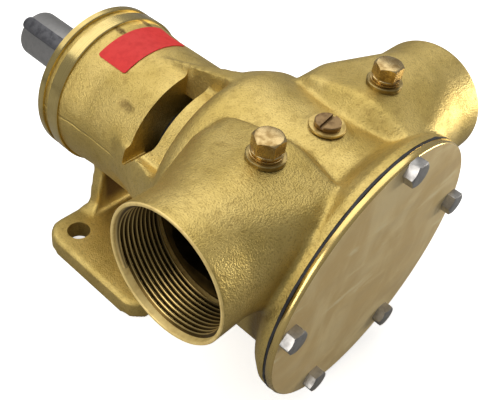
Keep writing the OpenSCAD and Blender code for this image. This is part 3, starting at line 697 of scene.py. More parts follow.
def turned(name: str, outline: list[tuple[float, float]], axle: Axle, steps: int = 128,
           angle: float = 360, start: float = 0) -> bpy.types.Object:
    """Draws an outline vertex by vertex and spins it around an axle.

    Args:
        name: name of the new piece.
        outline: radius and height of each corner; it closes on itself unless it ends on the axle.
        axle: the line to spin around.
        steps: faces around.
        angle: how far it spins, in degrees.
        start: angle of the first edge, in degrees.

    Returns:
        The finished solid.
    """
    deselect()
    points = [axle.at(r, h) for r, h in outline]
    bpy.ops.mesh.primitive_plane_add(size=MM, location=points[0])
    piece = bpy.context.object
    piece.name = name
    apply_place(piece)
    bpy.ops.object.mode_set(mode="EDIT")
    bpy.ops.mesh.select_all(action="SELECT")
    bpy.ops.mesh.merge(type="CENTER")
    on_axle = outline[0][0] == 0 and outline[-1][0] == 0
    for before, after in zip(points, points[1:] + ([] if on_axle else [points[0]])):
        bpy.ops.mesh.extrude_vertices_move(TRANSFORM_OT_translate={"value": after - before})
    bpy.ops.mesh.select_all(action="SELECT")
    bpy.ops.mesh.remove_doubles(threshold=1e-7)
    if angle < 360:
        bpy.ops.mesh.edge_face_add()
    if start:
        turn = Matrix.Rotation(math.radians(start), 3, axle.along)
        mesh = bmesh.from_edit_mesh(piece.data)
        bmesh.ops.rotate(mesh, cent=axle.centre, matrix=turn, verts=mesh.verts)
        bmesh.update_edit_mesh(piece.data)
    bpy.ops.mesh.select_all(action="SELECT")
    bpy.ops.mesh.spin(steps=steps, angle=-math.radians(angle), center=axle.centre,
                      axis=axle.along)
    bpy.ops.mesh.select_all(action="SELECT")
    bpy.ops.mesh.remove_doubles(threshold=1e-7)
    bpy.ops.mesh.normals_make_consistent(inside=False)
    deselect()
    return piece


def arc(centre: tuple[float, float], radius: float, first: float, last: float,
        steps: int = 6) -> list[tuple[float, float]]:
    """Points of an arc in an outline, from one angle in degrees to another."""
    angles = [math.radians(first + (last - first) * i / steps) for i in range(steps + 1)]
    return [(centre[0] + radius * math.cos(a), centre[1] + radius * math.sin(a)) for a in angles]


def block(name: str, low: tuple, high: tuple) -> bpy.types.Object:
    """Box between two corners.

    Args:
        name: name of the new piece.
        low: its lowest corner.
        high: its highest corner.

    Returns:
        The box.
    """
    deselect()
    low, high = Vector(low), Vector(high)
    bpy.ops.mesh.primitive_cube_add(size=1, location=(low + high) / 2)
    piece = bpy.context.object
    piece.name = name
    piece.scale = high - low
    apply_place(piece)
    return piece


def plate_of(name: str, corners: list[tuple[float, float]], front: float,
             thick: float) -> bpy.types.Object:
    """Upright plate that faces along the shaft.

    Args:
        name: name of the new piece.
        corners: places across the pump and heights, in millimetres.
        front: place of its front face on Y.
        thick: thickness to the rear.

    Returns:
        The plate as a closed solid.
    """
    deselect()
    points = [Vector((x * MM, front, z * MM)) for x, z in corners]
    bpy.ops.mesh.primitive_plane_add(size=MM, location=points[0])
    piece = bpy.context.object
    piece.name = name
    apply_place(piece)
    bpy.ops.object.mode_set(mode="EDIT")
    bpy.ops.mesh.select_all(action="SELECT")
    bpy.ops.mesh.merge(type="CENTER")
    for before, after in zip(points, points[1:]):
        bpy.ops.mesh.extrude_vertices_move(TRANSFORM_OT_translate={"value": after - before})
    bpy.ops.mesh.select_all(action="SELECT")
    bpy.ops.mesh.edge_face_add()
    bpy.ops.mesh.extrude_region_move(TRANSFORM_OT_translate={"value": (0, thick, 0)})
    bpy.ops.mesh.select_all(action="SELECT")
    bpy.ops.mesh.normals_make_consistent(inside=False)
    deselect()
    return piece


def rod(name: str, axle: Axle, radius: float, low: float, high: float,
        steps: int = 96) -> bpy.types.Object:
    """Plain cylinder between two heights on an axle."""
    return turned(name, [(0, low), (radius, low), (radius, high), (0, high)], axle, steps)


def bevel_edges(piece: bpy.types.Object, width: float, segments: int,
                chosen: Callable[[Vector, Vector], bool]) -> None:
    """Bevels the edges whose two ends pass a test.

    Args:
        piece: the object to change.
        width: width of the bevel.
        segments: faces across it.
        chosen: function of the edge's two end points that says yes or no.
    """
    activate(piece)
    bpy.ops.object.mode_set(mode="EDIT")
    bpy.ops.mesh.select_mode(type="EDGE")
    bpy.ops.mesh.select_all(action="DESELECT")
    mesh = bmesh.from_edit_mesh(piece.data)
    for edge in mesh.edges:
        edge.select_set(bool(chosen(edge.verts[0].co, edge.verts[1].co)))
    bmesh.update_edit_mesh(piece.data)
    bpy.ops.mesh.bevel(offset=width, segments=segments, affect="EDGES")
    bpy.ops.mesh.select_mode(type="VERT")
    deselect()


def dress(piece: bpy.types.Object, *materials: bpy.types.Material) -> None:
    """Gives a piece its materials in place of any that it has.

    Args:
        piece: the object to dress.
        materials: its materials in the order of their numbers.
    """
    piece.data.materials.clear()
    for material in materials:
        piece.data.materials.append(material)


def settle(piece: bpy.types.Object, slot: str, *nodes: str, body: str = STILL_BODY) -> None:
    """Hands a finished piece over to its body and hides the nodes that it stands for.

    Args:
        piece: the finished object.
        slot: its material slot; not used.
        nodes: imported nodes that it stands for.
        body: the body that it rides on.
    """
    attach(piece, body)
    if nodes:
        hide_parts(*nodes)
    LOG.info("%s: %d faces on %s", piece.name, len(piece.data.polygons), body)


@dataclass
class Casting:
    """Cast body: pump head with its two ports, neck with a window, legs and foot."""

    head_front: float = -38
    head_back: float = 56.7
    flange_r: float = 70.3 * MM
    flange_edge: float = 3.4
    flange_run: float = 13
    shell_r: float = 58 * MM
    shoulder: float = 13
    neck_r: float = 41.3 * MM
    neck_rear_r: float = 42.8 * MM
    band_r: float = 44.2 * MM
    band_start: float = 134.3
    rear_end: float = 150.8
    window_front: float = 67.7
    window_back: float = 82.2
    tube_r: float = 31.6 * MM
    bore_root_r: float = 29.8 * MM
    thread_l: float = 26 * MM
    lobe_r: float = 14.5 * MM
    lobe_up: float = 12 * MM
    chamber_r: float = 47.6 * MM
    foot_w: float = 124.8 * MM
    foot_l: float = 81 * MM
    foot_t: float = 11.5 * MM
    foot_corner: float = 13 * MM
    foot_hole_x: float = 48 * MM
    foot_hole_y: float = 25.5 * MM
    foot_hole_r: float = 6.5 * MM
    leg_t: float = 9 * MM
    flare_start: float = 118.3
    cheek_root: float = 36 * MM
    bearing_r: float = 31 * MM
    clip_groove_r: float = 33 * MM
    rear_seal_r: float = 31.9 * MM
    voxel: float = 1.45 * MM
    flange_shares: list = field(default_factory=lambda: [
        (0, 0), (0.12, 0.12), (0.2, 0.22), (0.3, 0.36), (0.5, 0.5), (0.72, 0.66), (0.88, 0.8),
        (1, 1)])
    near_shares: list = field(default_factory=lambda: [
        (0, 0), (0.51, 0.53), (0.67, 0.79), (0.83, 1.03), (1, 1.3)])
    far_shares: list = field(default_factory=lambda: [
        (0, 0), (0.06, 0.1), (0.17, 0.24), (0.35, 0.38), (0.55, 0.51), (0.72, 0.65),
        (0.88, 0.79), (1, 0.94)])
    web_shares: list = field(default_factory=lambda: [(80, 0.98), (93.5, 1.54)])
    window_far_x: float = -2.5 * MM
    window_near_front: float = 20.8 * MM
    window_near_rear: float = 4.6 * MM

    def build(self, finishes: "Finishes") -> None:
        """Models the whole casting, with cast faces, machined faces and bores.

        Args:
            finishes: all finishes of the pump.
        """
        pieces = [self._core(), *self._cheeks(), *self._ports(), *self._stand()]
        rough = join(pieces, "pump_casting")
        modify(rough, "REMESH", mode="VOXEL", voxel_size=self.voxel)
        self._soften(rough)
        dress(rough, finishes.cast, finishes.machined, finishes.bore, finishes.lip)
        combine(rough, self._band(), "UNION", always(Face.MACHINED))
        for tool, finish in self._cutters():
            combine(rough, tool, "DIFFERENCE", finish)
        tidy(rough, 38)
        settle(rough, "cast_brass", "pump_housing")

    def _core(self) -> bpy.types.Object:
        """Turned form of head and neck, longer at both ends than the finished casting.

        Returns:
            The core as a closed solid.
        """
        drop = self.flange_r - self.shell_r
        edge = self.head_front + self.flange_edge
        foot = self.head_back - self.shoulder
        shell_corner = arc((self.shell_r - self.shoulder * MM, station(foot)),
                           self.shoulder * MM, 0, 90, 8)
        front, rear = station(self.head_front - 6), station(self.rear_end - 3)
        outline = [(0, front), (self.flange_r, front)]
        outline += [(self.flange_r - drop * d, station(edge + self.flange_run * r))
                    for d, r in self.flange_shares]
        outline += shell_corner
        outline += [(self.neck_r, station(self.head_back)),
                    (self.neck_r, station(self.flare_start)),
                    (self.neck_rear_r, station(self.band_start)), (self.neck_rear_r, rear),
                    (0, rear)]
        return turned("core", outline, SHAFT_AXLE, 128)

    def _cheeks(self) -> list[bpy.types.Object]:
        """Two cheeks that flare from the neck up to the head beside the window.

        Returns:
            Both cheeks and the web as closed solids.
        """
        foot = self.head_back - self.shoulder
        run = self.window_back - foot
        drop = self.shell_r - self.neck_r
        pieces = []
        for name, shares, first, last in (("near", self.near_shares, 160, 190),
                                          ("far", self.far_shares, -10, 80)):
            outline = [(self.cheek_root, station(foot - 1)), (self.shell_r, station(foot - 1))]
            outline += [(self.shell_r - drop * d, station(foot + run * r)) for d, r in shares]
            outline += [(self.cheek_root, station(foot + run * shares[-1][1]))]
            pieces.append(turned(name + "_cheek", outline, SHAFT_AXLE, 48, last - first, -last))
        return pieces + self._web()

    def _web(self) -> list[bpy.types.Object]:
        """Web beyond the window, as hulls between thin slices that taper to the rear.

        Returns:
            The web as closed solids.
        """
        foot = self.head_back - self.shoulder
        run = self.window_back - foot
        start, root = station(foot), self.cheek_root
        pieces = []
        for pair in zip(self.web_shares, self.web_shares[1:]):
            slices = []
            for angle, share in pair:
                end = station(foot + run * share)
                outline = [(root, start), (self.shell_r, start), (self.neck_r, end), (root, end)]
                slices.append(turned("web", outline, SHAFT_AXLE, 1, 0.5, -angle))
            pieces.append(hull(slices, "web"))
        return pieces

    def _ports(self) -> list[bpy.types.Object]:
        """Tubes of both ports and the swollen bodies that join them to the head.

        Returns:
            The tubes, their bodies and the saddle.
        """
        pieces = []
        for side in (-1, 1):
            axle = port_axle(side)
            pieces.append(rod("port_tube", axle, self.tube_r, 60 * MM, PORT_REACH + 8 * MM))
            pieces.append(self._port_body(side))
        saddle = Axle(Vector((0, PORT_Y, SHAFT_Z)), Z_AXIS, X_AXIS)
        pieces.append(rod("saddle", saddle, 10 * MM, 40 * MM, 59.2 * MM))
        return pieces

    def _port_body(self, side: int) -> bpy.types.Object:
        """Swollen body of one port as the hull of rods laid along the port.

        Args:
            side: 1 for the far port, -1 for the near one.

        Returns:
            The body as a closed solid.
        """
        round_r = 7.5 * MM
        inner = 18 * MM
        swell = PORT_REACH * 0.8
        rods = [rod("hull", port_axle(side), self.tube_r - round_r, inner, swell, 48),
                rod("hull", port_axle(side), self.tube_r + 0.2 * MM, inner + round_r, swell, 48)]
        for up in (-self.lobe_up, self.lobe_up):
            for back in (-20 * MM, 25.2 * MM):
                centre = Vector((0, PORT_Y + back, PORT_Z + up))
                rods.append(rod("hull", Axle(centre, X_AXIS * side, Z_AXIS), self.lobe_r,
                                inner + round_r, PORT_REACH * 0.46, 48))
        return hull(rods, "port_body")

    def _stand(self) -> list[bpy.types.Object]:
        """Foot plate with round corners and the two legs under the neck.

        Returns:
            The plate and both legs.
        """
        half_x, half_y = self.foot_w / 2, self.foot_l / 2
        plate = block("foot", (-half_x, -half_y, 0), (half_x, half_y, self.foot_t))
        bevel_edges(plate, self.foot_corner, 10, lambda a, b: abs(a.z - b.z) > MM)
        legs = []
        for low in (-38.5 * MM, 29.5 * MM):
            side = [(26, 75), (26, 45), (29.6, 24)]
            side += [(38 - 8 * math.cos(math.radians(a)), 19.5 - 8 * math.sin(math.radians(a)))
                     for a in (0, 20, 40, 60, 75, 90)]
            corners = [(x, z) for x, z in side] + [(38, 9)]
            corners += [(-x, z) for x, z in reversed(corners)]
            legs.append(plate_of("leg", corners, low, self.leg_t))
        return [plate, *legs]

    def _soften(self, rough: bpy.types.Object) -> None:
        """Rounds all edges as a sand mould does, and the valleys round the ports more.

        Args:
            rough: the casting before it is machined.
        """
        modify(rough, "SMOOTH", factor=0.5, iterations=5)
        group = rough.vertex_groups.new(name="valleys")
        side, front, rear = 62 * MM, station(-32), station(48)
        floor, fade = SHAFT_Z + 20 * MM, 8 * MM
        for vertex in rough.data.vertices:
            x, y, z = vertex.co
            inward = min(side - abs(x), y - front, rear - y, z - floor)
            if inward > 0:
                group.add([vertex.index], min(1.0, inward / fade), "REPLACE")
        modify(rough, "SMOOTH", factor=0.5, iterations=6, vertex_group="valleys")
        rough.vertex_groups.clear()

    def _band(self) -> bpy.types.Object:
        """Turned band behind the neck, with its groove and small chamfers.

        Returns:
            The band as a closed solid.
        """
        r, edge = self.band_r, 0.45 * MM
        groove = r - 2.5 * MM
        y0, y1, y2, y3 = (station(d) for d in (self.band_start, 142.3, 146.3, self.rear_end))
        outline = [(0, y0), (r - edge, y0), (r, y0 + edge), (r, y1 - edge), (r - edge, y1),
                   (groove, y1), (groove, y2), (r - edge, y2), (r, y2 + edge),
                   (r, y3 - 2 * edge), (r - 2 * edge, y3), (0, y3)]
        return turned("band", outline, SHAFT_AXLE, 160)

    def _cutters(self) -> list[tuple[bpy.types.Object, FaceRule]]:
        """Everything that is machined or cored out of the rough casting, with its finish.

        Returns:
            Each tool with the rule for its faces.
        """
        axle = SHAFT_AXLE
        cast, machined, bore = always(Face.CAST), always(Face.MACHINED), always(Face.BORED)
        cutters = [
            (rod("front_cut", axle, 90 * MM, station(-60), station(self.head_front), 64),
             machined),
            (rod("chamber_cut", axle, self.chamber_r, station(-40), station(27)), bore),
            (rod("seal_cut", axle, 20 * MM, station(26), station(53)), bore),
            (rod("shaft_cut", axle, 14 * MM, station(52), station(70)), bore),
            (rod("cavity_cut", axle, 30 * MM, station(self.window_front),
                 station(self.window_back)), cast),
            (rod("wall_cut", axle, 21 * MM, station(81), station(90)), cast),
            (turned("bearing_cut", [(0, station(88)), (self.bearing_r, station(88)),
                                    (self.bearing_r, station(140)),
                                    (self.clip_groove_r, station(140)),
                                    (self.clip_groove_r, station(142)),
                                    (self.bearing_r, station(142)),
                                    (self.bearing_r, station(150)),
                                    (self.rear_seal_r, station(self.rear_end)),
                                    (self.rear_seal_r, station(153)), (0, station(153))],
                    axle, 128), machined),
            (self._window_cut(), cast),
            (block("drain_cut", (-12 * MM, station(self.window_front), SHAFT_Z - 50 * MM),
                   (12 * MM, station(self.window_back), SHAFT_Z - 20 * MM)), cast),
        ]
        for side in (-1, 1):
            cutters += [(self._mouth_cut(side), self._mouth_finish),
                        (self._passage_cut(side), bore)]
        for sx in (-1, 1):
            for sy in (-1, 1):
                place = Vector((sx * self.foot_hole_x, sy * self.foot_hole_y, 0))
                tool = rod("foot_hole_cut", Axle(place, Z_AXIS, X_AXIS), self.foot_hole_r,
                           -2 * MM, 20 * MM, 48)
                cutters.append((tool, cast))
        return cutters

    def _mouth_finish(self, face: bpy.types.MeshPolygon) -> int:
        """Finish of a face of the mouth tool: bore inside, a faced lip outside."""
        radius = math.hypot(face.center.y - PORT_Y, face.center.z - PORT_Z)
        return Face.BORED if radius < self.bore_root_r - 0.1 * MM else Face.LIP

    def _window_cut(self) -> bpy.types.Object:
        """Window tool with an upright far wall and a near edge that slopes to the rear.

        Returns:
            The tool as a closed solid.
        """
        y0, y1 = station(self.window_front), station(self.window_back)
        tool = block("window_cut", (-60 * MM, y0, SHAFT_Z - 20 * MM),
                     (self.window_far_x, y1, SHAFT_Z + 62 * MM))
        front = Vector((0, y0, SHAFT_Z + self.window_near_front))
        rear = Vector((0, y1, SHAFT_Z + self.window_near_rear))
        activate(tool)
        bpy.ops.object.mode_set(mode="EDIT")
        bpy.ops.mesh.select_all(action="SELECT")
        bpy.ops.mesh.bisect(plane_co=front, plane_no=(rear - front).cross(X_AXIS), use_fill=True,
                            clear_outer=True)
        deselect()
        bevel_edges(tool, 3.5 * MM, 5, lambda a, b: abs(a.x - b.x) > 10 * MM)
        return tidy(tool)

    def _mouth_cut(self, side: int) -> bpy.types.Object:
        """Tool that faces a port's mouth, rounds its rim and bores the thread's root.

        Args:
            side: 1 for the far port, -1 for the near one.

        Returns:
            The tool as a closed solid.
        """
        reach, rim = PORT_REACH, 0.9 * MM
        bore, tube = self.bore_root_r, self.tube_r
        outline = [(0, reach - self.thread_l), (bore, reach - self.thread_l),
                   (bore, reach - 0.6 * MM), (bore + 0.3 * MM, reach - 0.15 * MM),
                   (bore + 0.5 * MM, reach), (tube - rim + 0.5 * MM, reach),
                   (tube - 0.15 * MM, reach - 0.35 * MM), (tube + 0.1 * MM, reach - rim),
                   (tube + 8 * MM, reach - rim), (tube + 8 * MM, reach + 20 * MM),
                   (0, reach + 20 * MM)]
        return turned("mouth_cut", outline, port_axle(side), 160)

    def _passage_cut(self, side: int) -> bpy.types.Object:
        """Oval passage from a port into the chamber.

        Args:
            side: 1 for the far port, -1 for the near one.

        Returns:
            The tool as a closed solid.
        """
        half, inner = 13 * MM, self.chamber_r / 2
        end = PORT_REACH - self.thread_l + MM
        centre = Vector((0, PORT_Y, PORT_Z - 8.3 * MM))
        ends = [rod("passage", Axle(centre + Y_AXIS * shift, X_AXIS * side, Z_AXIS), half, inner,
                    end, 48) for shift in (-9 * MM, 9 * MM)]
        return hull(ends, "passage_cut")


@dataclass
class PortThread:
    """Pipe thread inside one port, as the ridge that a tap leaves."""

    side: int
    crest_r: float = 28.33 * MM
    root_r: float = 29.85 * MM
    pitch: float = 2.309 * MM
    first: float = 69 * MM
    last: float = 92.9 * MM

    def build(self) -> bpy.types.Object:
        """Models the ridge by screwing its section along the port.

        Returns:
            The ridge, not yet dressed.
        """
        half = self.pitch / 2 - 0.06 * MM
        corners = [(self.root_r, -half), (self.crest_r + 0.1 * MM, -0.14 * MM),
                   (self.crest_r, 0), (self.crest_r + 0.1 * MM, 0.14 * MM), (self.root_r, half)]
        deselect()
        bpy.ops.mesh.primitive_circle_add(vertices=len(corners), radius=MM, fill_type="NGON")
        ridge = bpy.context.object
        ridge.name = "port_thread_" + ("left" if self.side < 0 else "right")
        for vertex, (radius, along) in zip(ridge.data.vertices, corners):
            vertex.co = (radius, 0, self.first + self.pitch / 2 + along)
        turns = (self.last - self.first - self.pitch) / self.pitch
        modify(ridge, "SCREW", axis="Z", angle=math.tau * turns, iterations=1,
               screw_offset=self.pitch * turns, steps=int(88 * turns),
               render_steps=int(88 * turns), use_normal_calculate=True)
        ridge.rotation_euler = Euler((0, math.radians(90 * self.side), 0))
        ridge.location = (0, PORT_Y, PORT_Z)
        apply_place(ridge)
        return tidy(ridge, 25)


@dataclass
class EndCover:
    """Round cover plate with its gasket and five screws."""

    radius: float = 70.3 * MM
    circle_r: float = 63.1 * MM
    rise: float = 1.6 * MM
    angles: tuple = (90, 6.9, 173.1, 298, 242)
    hex_flats: float = 11.1 * MM
    head_h: float = 5.2 * MM
    shank_r: float = 3.175 * MM
    gasket_inner: float = 47.6 * MM
    gasket_edge: float = 0.1 * MM
    ripples: tuple = ((0.30, 7, 1), (0.22, 17, 0), (0.16, 31, 2))

    def build(self, finishes: "Finishes") -> None:
        """Models and dresses the cover, the gasket and the screws.

        Args:
            finishes: all finishes of the pump.
        """
        self._plate(finishes)
        self._gasket(finishes)
        for number, angle in enumerate(self.angles, 1):
            self._screw(number, angle, finishes)

    def _plate(self, finishes: "Finishes") -> None:
        """Cover plate with a broken front edge, a turned rim and a sanded face.

        Args:
            finishes: all finishes of the pump.
        """
        low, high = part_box("end_cover")
        r, y0, y1 = self.radius, low.y, high.y
        outline = [(0, y0), (40 * MM, y0), (r - 1.1 * MM, y0),
                   *arc((r - 1.1 * MM, y0 + 0.8 * MM), 0.8 * MM, -90, -20, 4),
                   (r - 0.05 * MM, y0 + 1.1 * MM), (r, y1 - 0.4 * MM), (r - 0.3 * MM, y1), (0, y1)]
        plate = turned("cover_plate", outline, SHAFT_AXLE, 192)
        tidy(plate, 40)
        dress(plate, finishes.cover, finishes.rim)
        for face in plate.data.polygons:
            radius = math.hypot(face.center.x, face.center.z - SHAFT_Z)
            on_rim = radius > r - 0.9 * MM or face.center.y > y1 - 0.1 * MM
            face.material_index = 1 if on_rim else 0
        settle(plate, "cover_brass", "end_cover")

    def _gasket(self, finishes: "Finishes") -> None:
        """Hand cut gasket, a little uneven at its edge.

        Args:
            finishes: all finishes of the pump.
        """
        low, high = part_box("cover_gasket")
        outer, inner = self.radius - self.gasket_edge, self.gasket_inner
        outline = [(inner, low.y), (outer, low.y), (outer, (low.y + high.y) / 2),
                   (outer, high.y), (inner, high.y)]
        gasket = turned("gasket", outline, SHAFT_AXLE, 240)
        for vertex in gasket.data.vertices:
            x, z = vertex.co.x, vertex.co.z - SHAFT_Z
            if math.hypot(x, z) > 60 * MM:
                turn = math.atan2(z, x)
                wave = sum(height * math.sin(waves * turn + shift)
                           for height, waves, shift in self.ripples)
                grown = 1 + wave * MM / self.radius
                vertex.co.x, vertex.co.z = x * grown, SHAFT_Z + z * grown
        tidy(gasket, 40)
        dress(gasket, finishes.gasket)
        settle(gasket, "gasket_paper", "cover_gasket")

    def _screw(self, number: int, angle: float, finishes: "Finishes") -> None:
        """One hexagon screw with a chamfered head, its shank in the casting.

        Args:
            number: number of the screw, from 1.
            angle: its angle on the screw circle, in degrees.
            finishes: all finishes of the pump.
        """
        turn = math.radians(angle)
        low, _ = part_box("end_cover")
        centre = Vector((self.circle_r * math.cos(turn), low.y,
                         SHAFT_Z + self.rise + self.circle_r * math.sin(turn)))
        axle = Axle(centre, -Y_AXIS, X_AXIS)
        screw = hexagon_head(f"cover_screw_{number}", axle, self.hex_flats, self.head_h)
        shank = rod("shank", axle, self.shank_r, -9 * MM, 0.5 * MM, 32)
        combine(screw, shank, "UNION")
        tidy(screw, 30)
        dress(screw, finishes.stainless)
        settle(screw, "stainless", "cover_screws")


def hexagon_head(name: str, axle: Axle, flats: float, height: float,
                 crown: float = 0.7) -> bpy.types.Object:
    """Hexagon head whose corners are turned down to a round face.

    Args:
        name: name of the piece.
        axle: axle whose foot is the head's seat.
        flats: width across the flats.
        height: height of the head.
        crown: depth of the turned cone at the corners, in millimetres.

    Returns:
        The head as a closed solid.
    """
    corner = flats / 2 / math.cos(math.pi / 6)
    head = turned(name, [(0, 0), (corner, 0), (corner, height), (0, height)], axle, 6)
    bevel_edges(head, 0.15 * MM, 2, lambda a, b: abs((a - b).dot(axle.along)) > height / 2)
    wide = corner + 2 * MM
    cone = turned("cone", [(0, -MM), (wide, -MM), (wide, height - crown * MM - 1.2 * MM),
                           (corner, height - crown * MM),
                           (flats / 2 - 0.25 * MM, height - 0.08 * MM),
                           (flats / 2 - 0.55 * MM, height), (0, height)], axle, 96)
    combine(head, cone, "INTERSECT")
    return head


@dataclass
class PortPlug:
    """Hexagon plug with a grooved collar and a dark washer on top of a port."""

    side: int
    offset: float = 41.6 * MM
    flats: float = 12.4 * MM
    head_h: float = 6.4 * MM
    collar_r: float = 7 * MM
    collar_h: float = 2.8 * MM
    stem_r: float = 5 * MM
    stem_l: float = 12 * MM
    washer_r: float = 8.5 * MM
    washer_h: float = 2 * MM
    washer_hole_r: float = 5.1 * MM

    def build(self, finishes: "Finishes") -> None:
        """Models and dresses the plug and its washer.

        Args:
            finishes: all finishes of the pump.
        """
        word = "left" if self.side < 0 else "right"
        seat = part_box("port_plug_washers")[0].z
        foot = Vector((self.side * self.offset, PORT_Y, seat))
        axle = Axle(foot, Z_AXIS, X_AXIS)
        low, r, h = self.washer_h, self.collar_r, self.collar_h
        collar = turned("plug_" + word, [
            (0, -self.stem_l), (self.stem_r, -self.stem_l), (self.stem_r, low),
            (r - 0.3 * MM, low),
            (r, low + 0.3 * MM), (r, low + 0.36 * h), (r - 0.7 * MM, low + 0.44 * h),
            (r - 0.7 * MM, low + 0.56 * h), (r - 0.1 * MM, low + 0.66 * h),
            (r - 0.1 * MM, low + 0.9 * h), (r - 0.4 * MM, low + h), (0, low + h)], axle, 96)
        seat_axle = Axle(foot + Z_AXIS * (low + h - 0.02 * MM), Z_AXIS, X_AXIS)
        head = hexagon_head("head", seat_axle, self.flats, self.head_h, 1.0)
        combine(collar, head, "UNION")
        tidy(collar, 30)
        dress(collar, finishes.plug)
        settle(collar, "plug_brass", "port_plug_" + word)
        edge = 0.35 * MM
        washer = turned("plug_washer_" + word, [
            (self.washer_hole_r, 0), (self.washer_r, 0), (self.washer_r, low - edge),
            (self.washer_r - edge, low), (self.washer_hole_r, low)], axle, 96)
        tidy(washer, 40)
        dress(washer, finishes.dull_washer)
        settle(washer, "plug_brass", "port_plug_washers")


@dataclass
class CamScrew:
    """Slotted screw and washer in the saddle, which hold the cam inside."""

    head_r: float = 6 * MM
    head_h: float = 2.3 * MM
    shank_r: float = 3 * MM
    slot_w: float = 1.8 * MM
    slot_floor: float = 0.42
    slot_turn: float = -8
    washer_r: float = 8.5 * MM
    washer_hole_r: float = 3.1 * MM

    def build(self, finishes: "Finishes") -> None:
        """Models and dresses the screw and its washer.

        Args:
            finishes: all finishes of the pump.
        """
        low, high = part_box("cam_screw_washer")
        axle = Axle(Vector((0, PORT_Y, high.z)), Z_AXIS, X_AXIS)
        edge = 0.35 * MM
        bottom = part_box("cam_screw")[0].z - high.z
        screw = turned("cam_screw_slotted", [
            (0, bottom), (self.shank_r, bottom), (self.shank_r, 0), (self.head_r - edge, 0),
            (self.head_r, edge), (self.head_r, self.head_h - edge),
            (self.head_r - edge, self.head_h), (0, self.head_h)], axle, 96)
        half = self.slot_w / 2
        slot = block("slot", (-9 * MM, PORT_Y - half, high.z + self.head_h * self.slot_floor),
                     (9 * MM, PORT_Y + half, high.z + 9 * MM))
        activate(slot)
        bpy.ops.transform.rotate(value=math.radians(self.slot_turn), orient_axis="Z",
                                 center_override=axle.centre)
        apply_place(slot)
        combine(screw, slot, "DIFFERENCE")
        tidy(screw, 30)
        dress(screw, finishes.brown)
        settle(screw, "plug_brass", "cam_screw")
        thick = high.z - low.z
        washer = turned("cam_washer", [
            (self.washer_hole_r, -thick), (self.washer_r - 0.2 * MM, -thick),
            (self.washer_r, -thick / 2), (self.washer_r - 0.25 * MM, 0),
            (self.washer_hole_r, 0)], axle, 96)
        tidy(washer, 40)
        dress(washer, finishes.light_washer)
        settle(washer, "inner_brass", "cam_screw_washer")


@dataclass
class DriveShaft:
    """Steel shaft with its key, as seen behind the bearing housing."""

    drive_r: float = 14 * MM
    journal_r: float = 14.98 * MM
    front_r: float = 12.5 * MM
    collar_r: float = 18 * MM
    key_angle: float = 128
    key_w: float = 8 * MM
    key_h: float = 7 * MM
    key_seat: float = 0.57
    key_fit: float = 0.02 * MM
    chamfer: float = 1.2 * MM

    def build(self, finishes: "Finishes") -> None:
        """Models and dresses the shaft and the key.

        Args:
            finishes: all finishes of the pump.
        """
        low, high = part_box("shaft")
        r, c = self.drive_r, self.chamfer
        collar, bearing, rear = station(85), station(88), station(150.8)
        shaft = turned("drive_shaft", [
            (0, low.y), (self.front_r - c, low.y), (self.front_r, low.y + c),
            (self.front_r, collar), (self.collar_r, collar), (self.collar_r, bearing),
            (self.journal_r, bearing), (self.journal_r, rear), (r, rear), (r, high.y - c),
            (r - 0.25 * MM, high.y - 0.5 * c), (r - c, high.y), (2.6 * MM, high.y),
            (1.5 * MM, high.y - 1.9 * MM), (1.5 * MM, high.y - 5 * MM), (0, high.y - 6 * MM)],
            SHAFT_AXLE, 128)
        key_low, key_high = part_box("drive_key")
        floor = self.drive_r - self.key_seat * self.key_h
        combine(shaft, self._bar("slot", floor, 9 * MM, key_low.y, key_high.y, self.key_fit),
                "DIFFERENCE")
        tidy(shaft, 30)
        dress(shaft, finishes.shaft)
        settle(shaft, "shaft_steel", "shaft", body=TURNING_BODY)
        key = self._bar("key", floor + self.key_fit, self.key_h, key_low.y, key_high.y, 0)
        modify(key, "BEVEL", width=0.35 * MM, segments=2, limit_method="ANGLE",
               angle_limit=math.radians(50))
        tidy(key, 30)
        key.name = "shaft_key"
        dress(key, finishes.key)
        settle(key, "key_steel", "drive_key", body=TURNING_BODY)

    def _bar(self, name: str, floor: float, height: float, first: float, last: float,
             grow: float) -> bpy.types.Object:
        """Bar with round ends that lies along the shaft at the key's angle.

        Args:
            name: name of the new piece.
            floor: distance of its underside from the shaft axis.
            height: how far it stands up from there.
            first: place of its front end on Y.
            last: place of its rear end on Y.
            grow: clearance that is added at each side.

        Returns:
            The bar as a closed solid.
        """
        half = self.key_w / 2 + grow
        turn = math.radians(self.key_angle)
        outward = Vector((math.cos(turn), 0, math.sin(turn)))
        across = outward.cross(Y_AXIS)
        ends = [rod(name, Axle(Vector((0, y, SHAFT_Z)), outward, across), half, floor,
                    floor + height, 48) for y in (first + self.key_w / 2, last - self.key_w / 2)]
        return hull(ends, name)


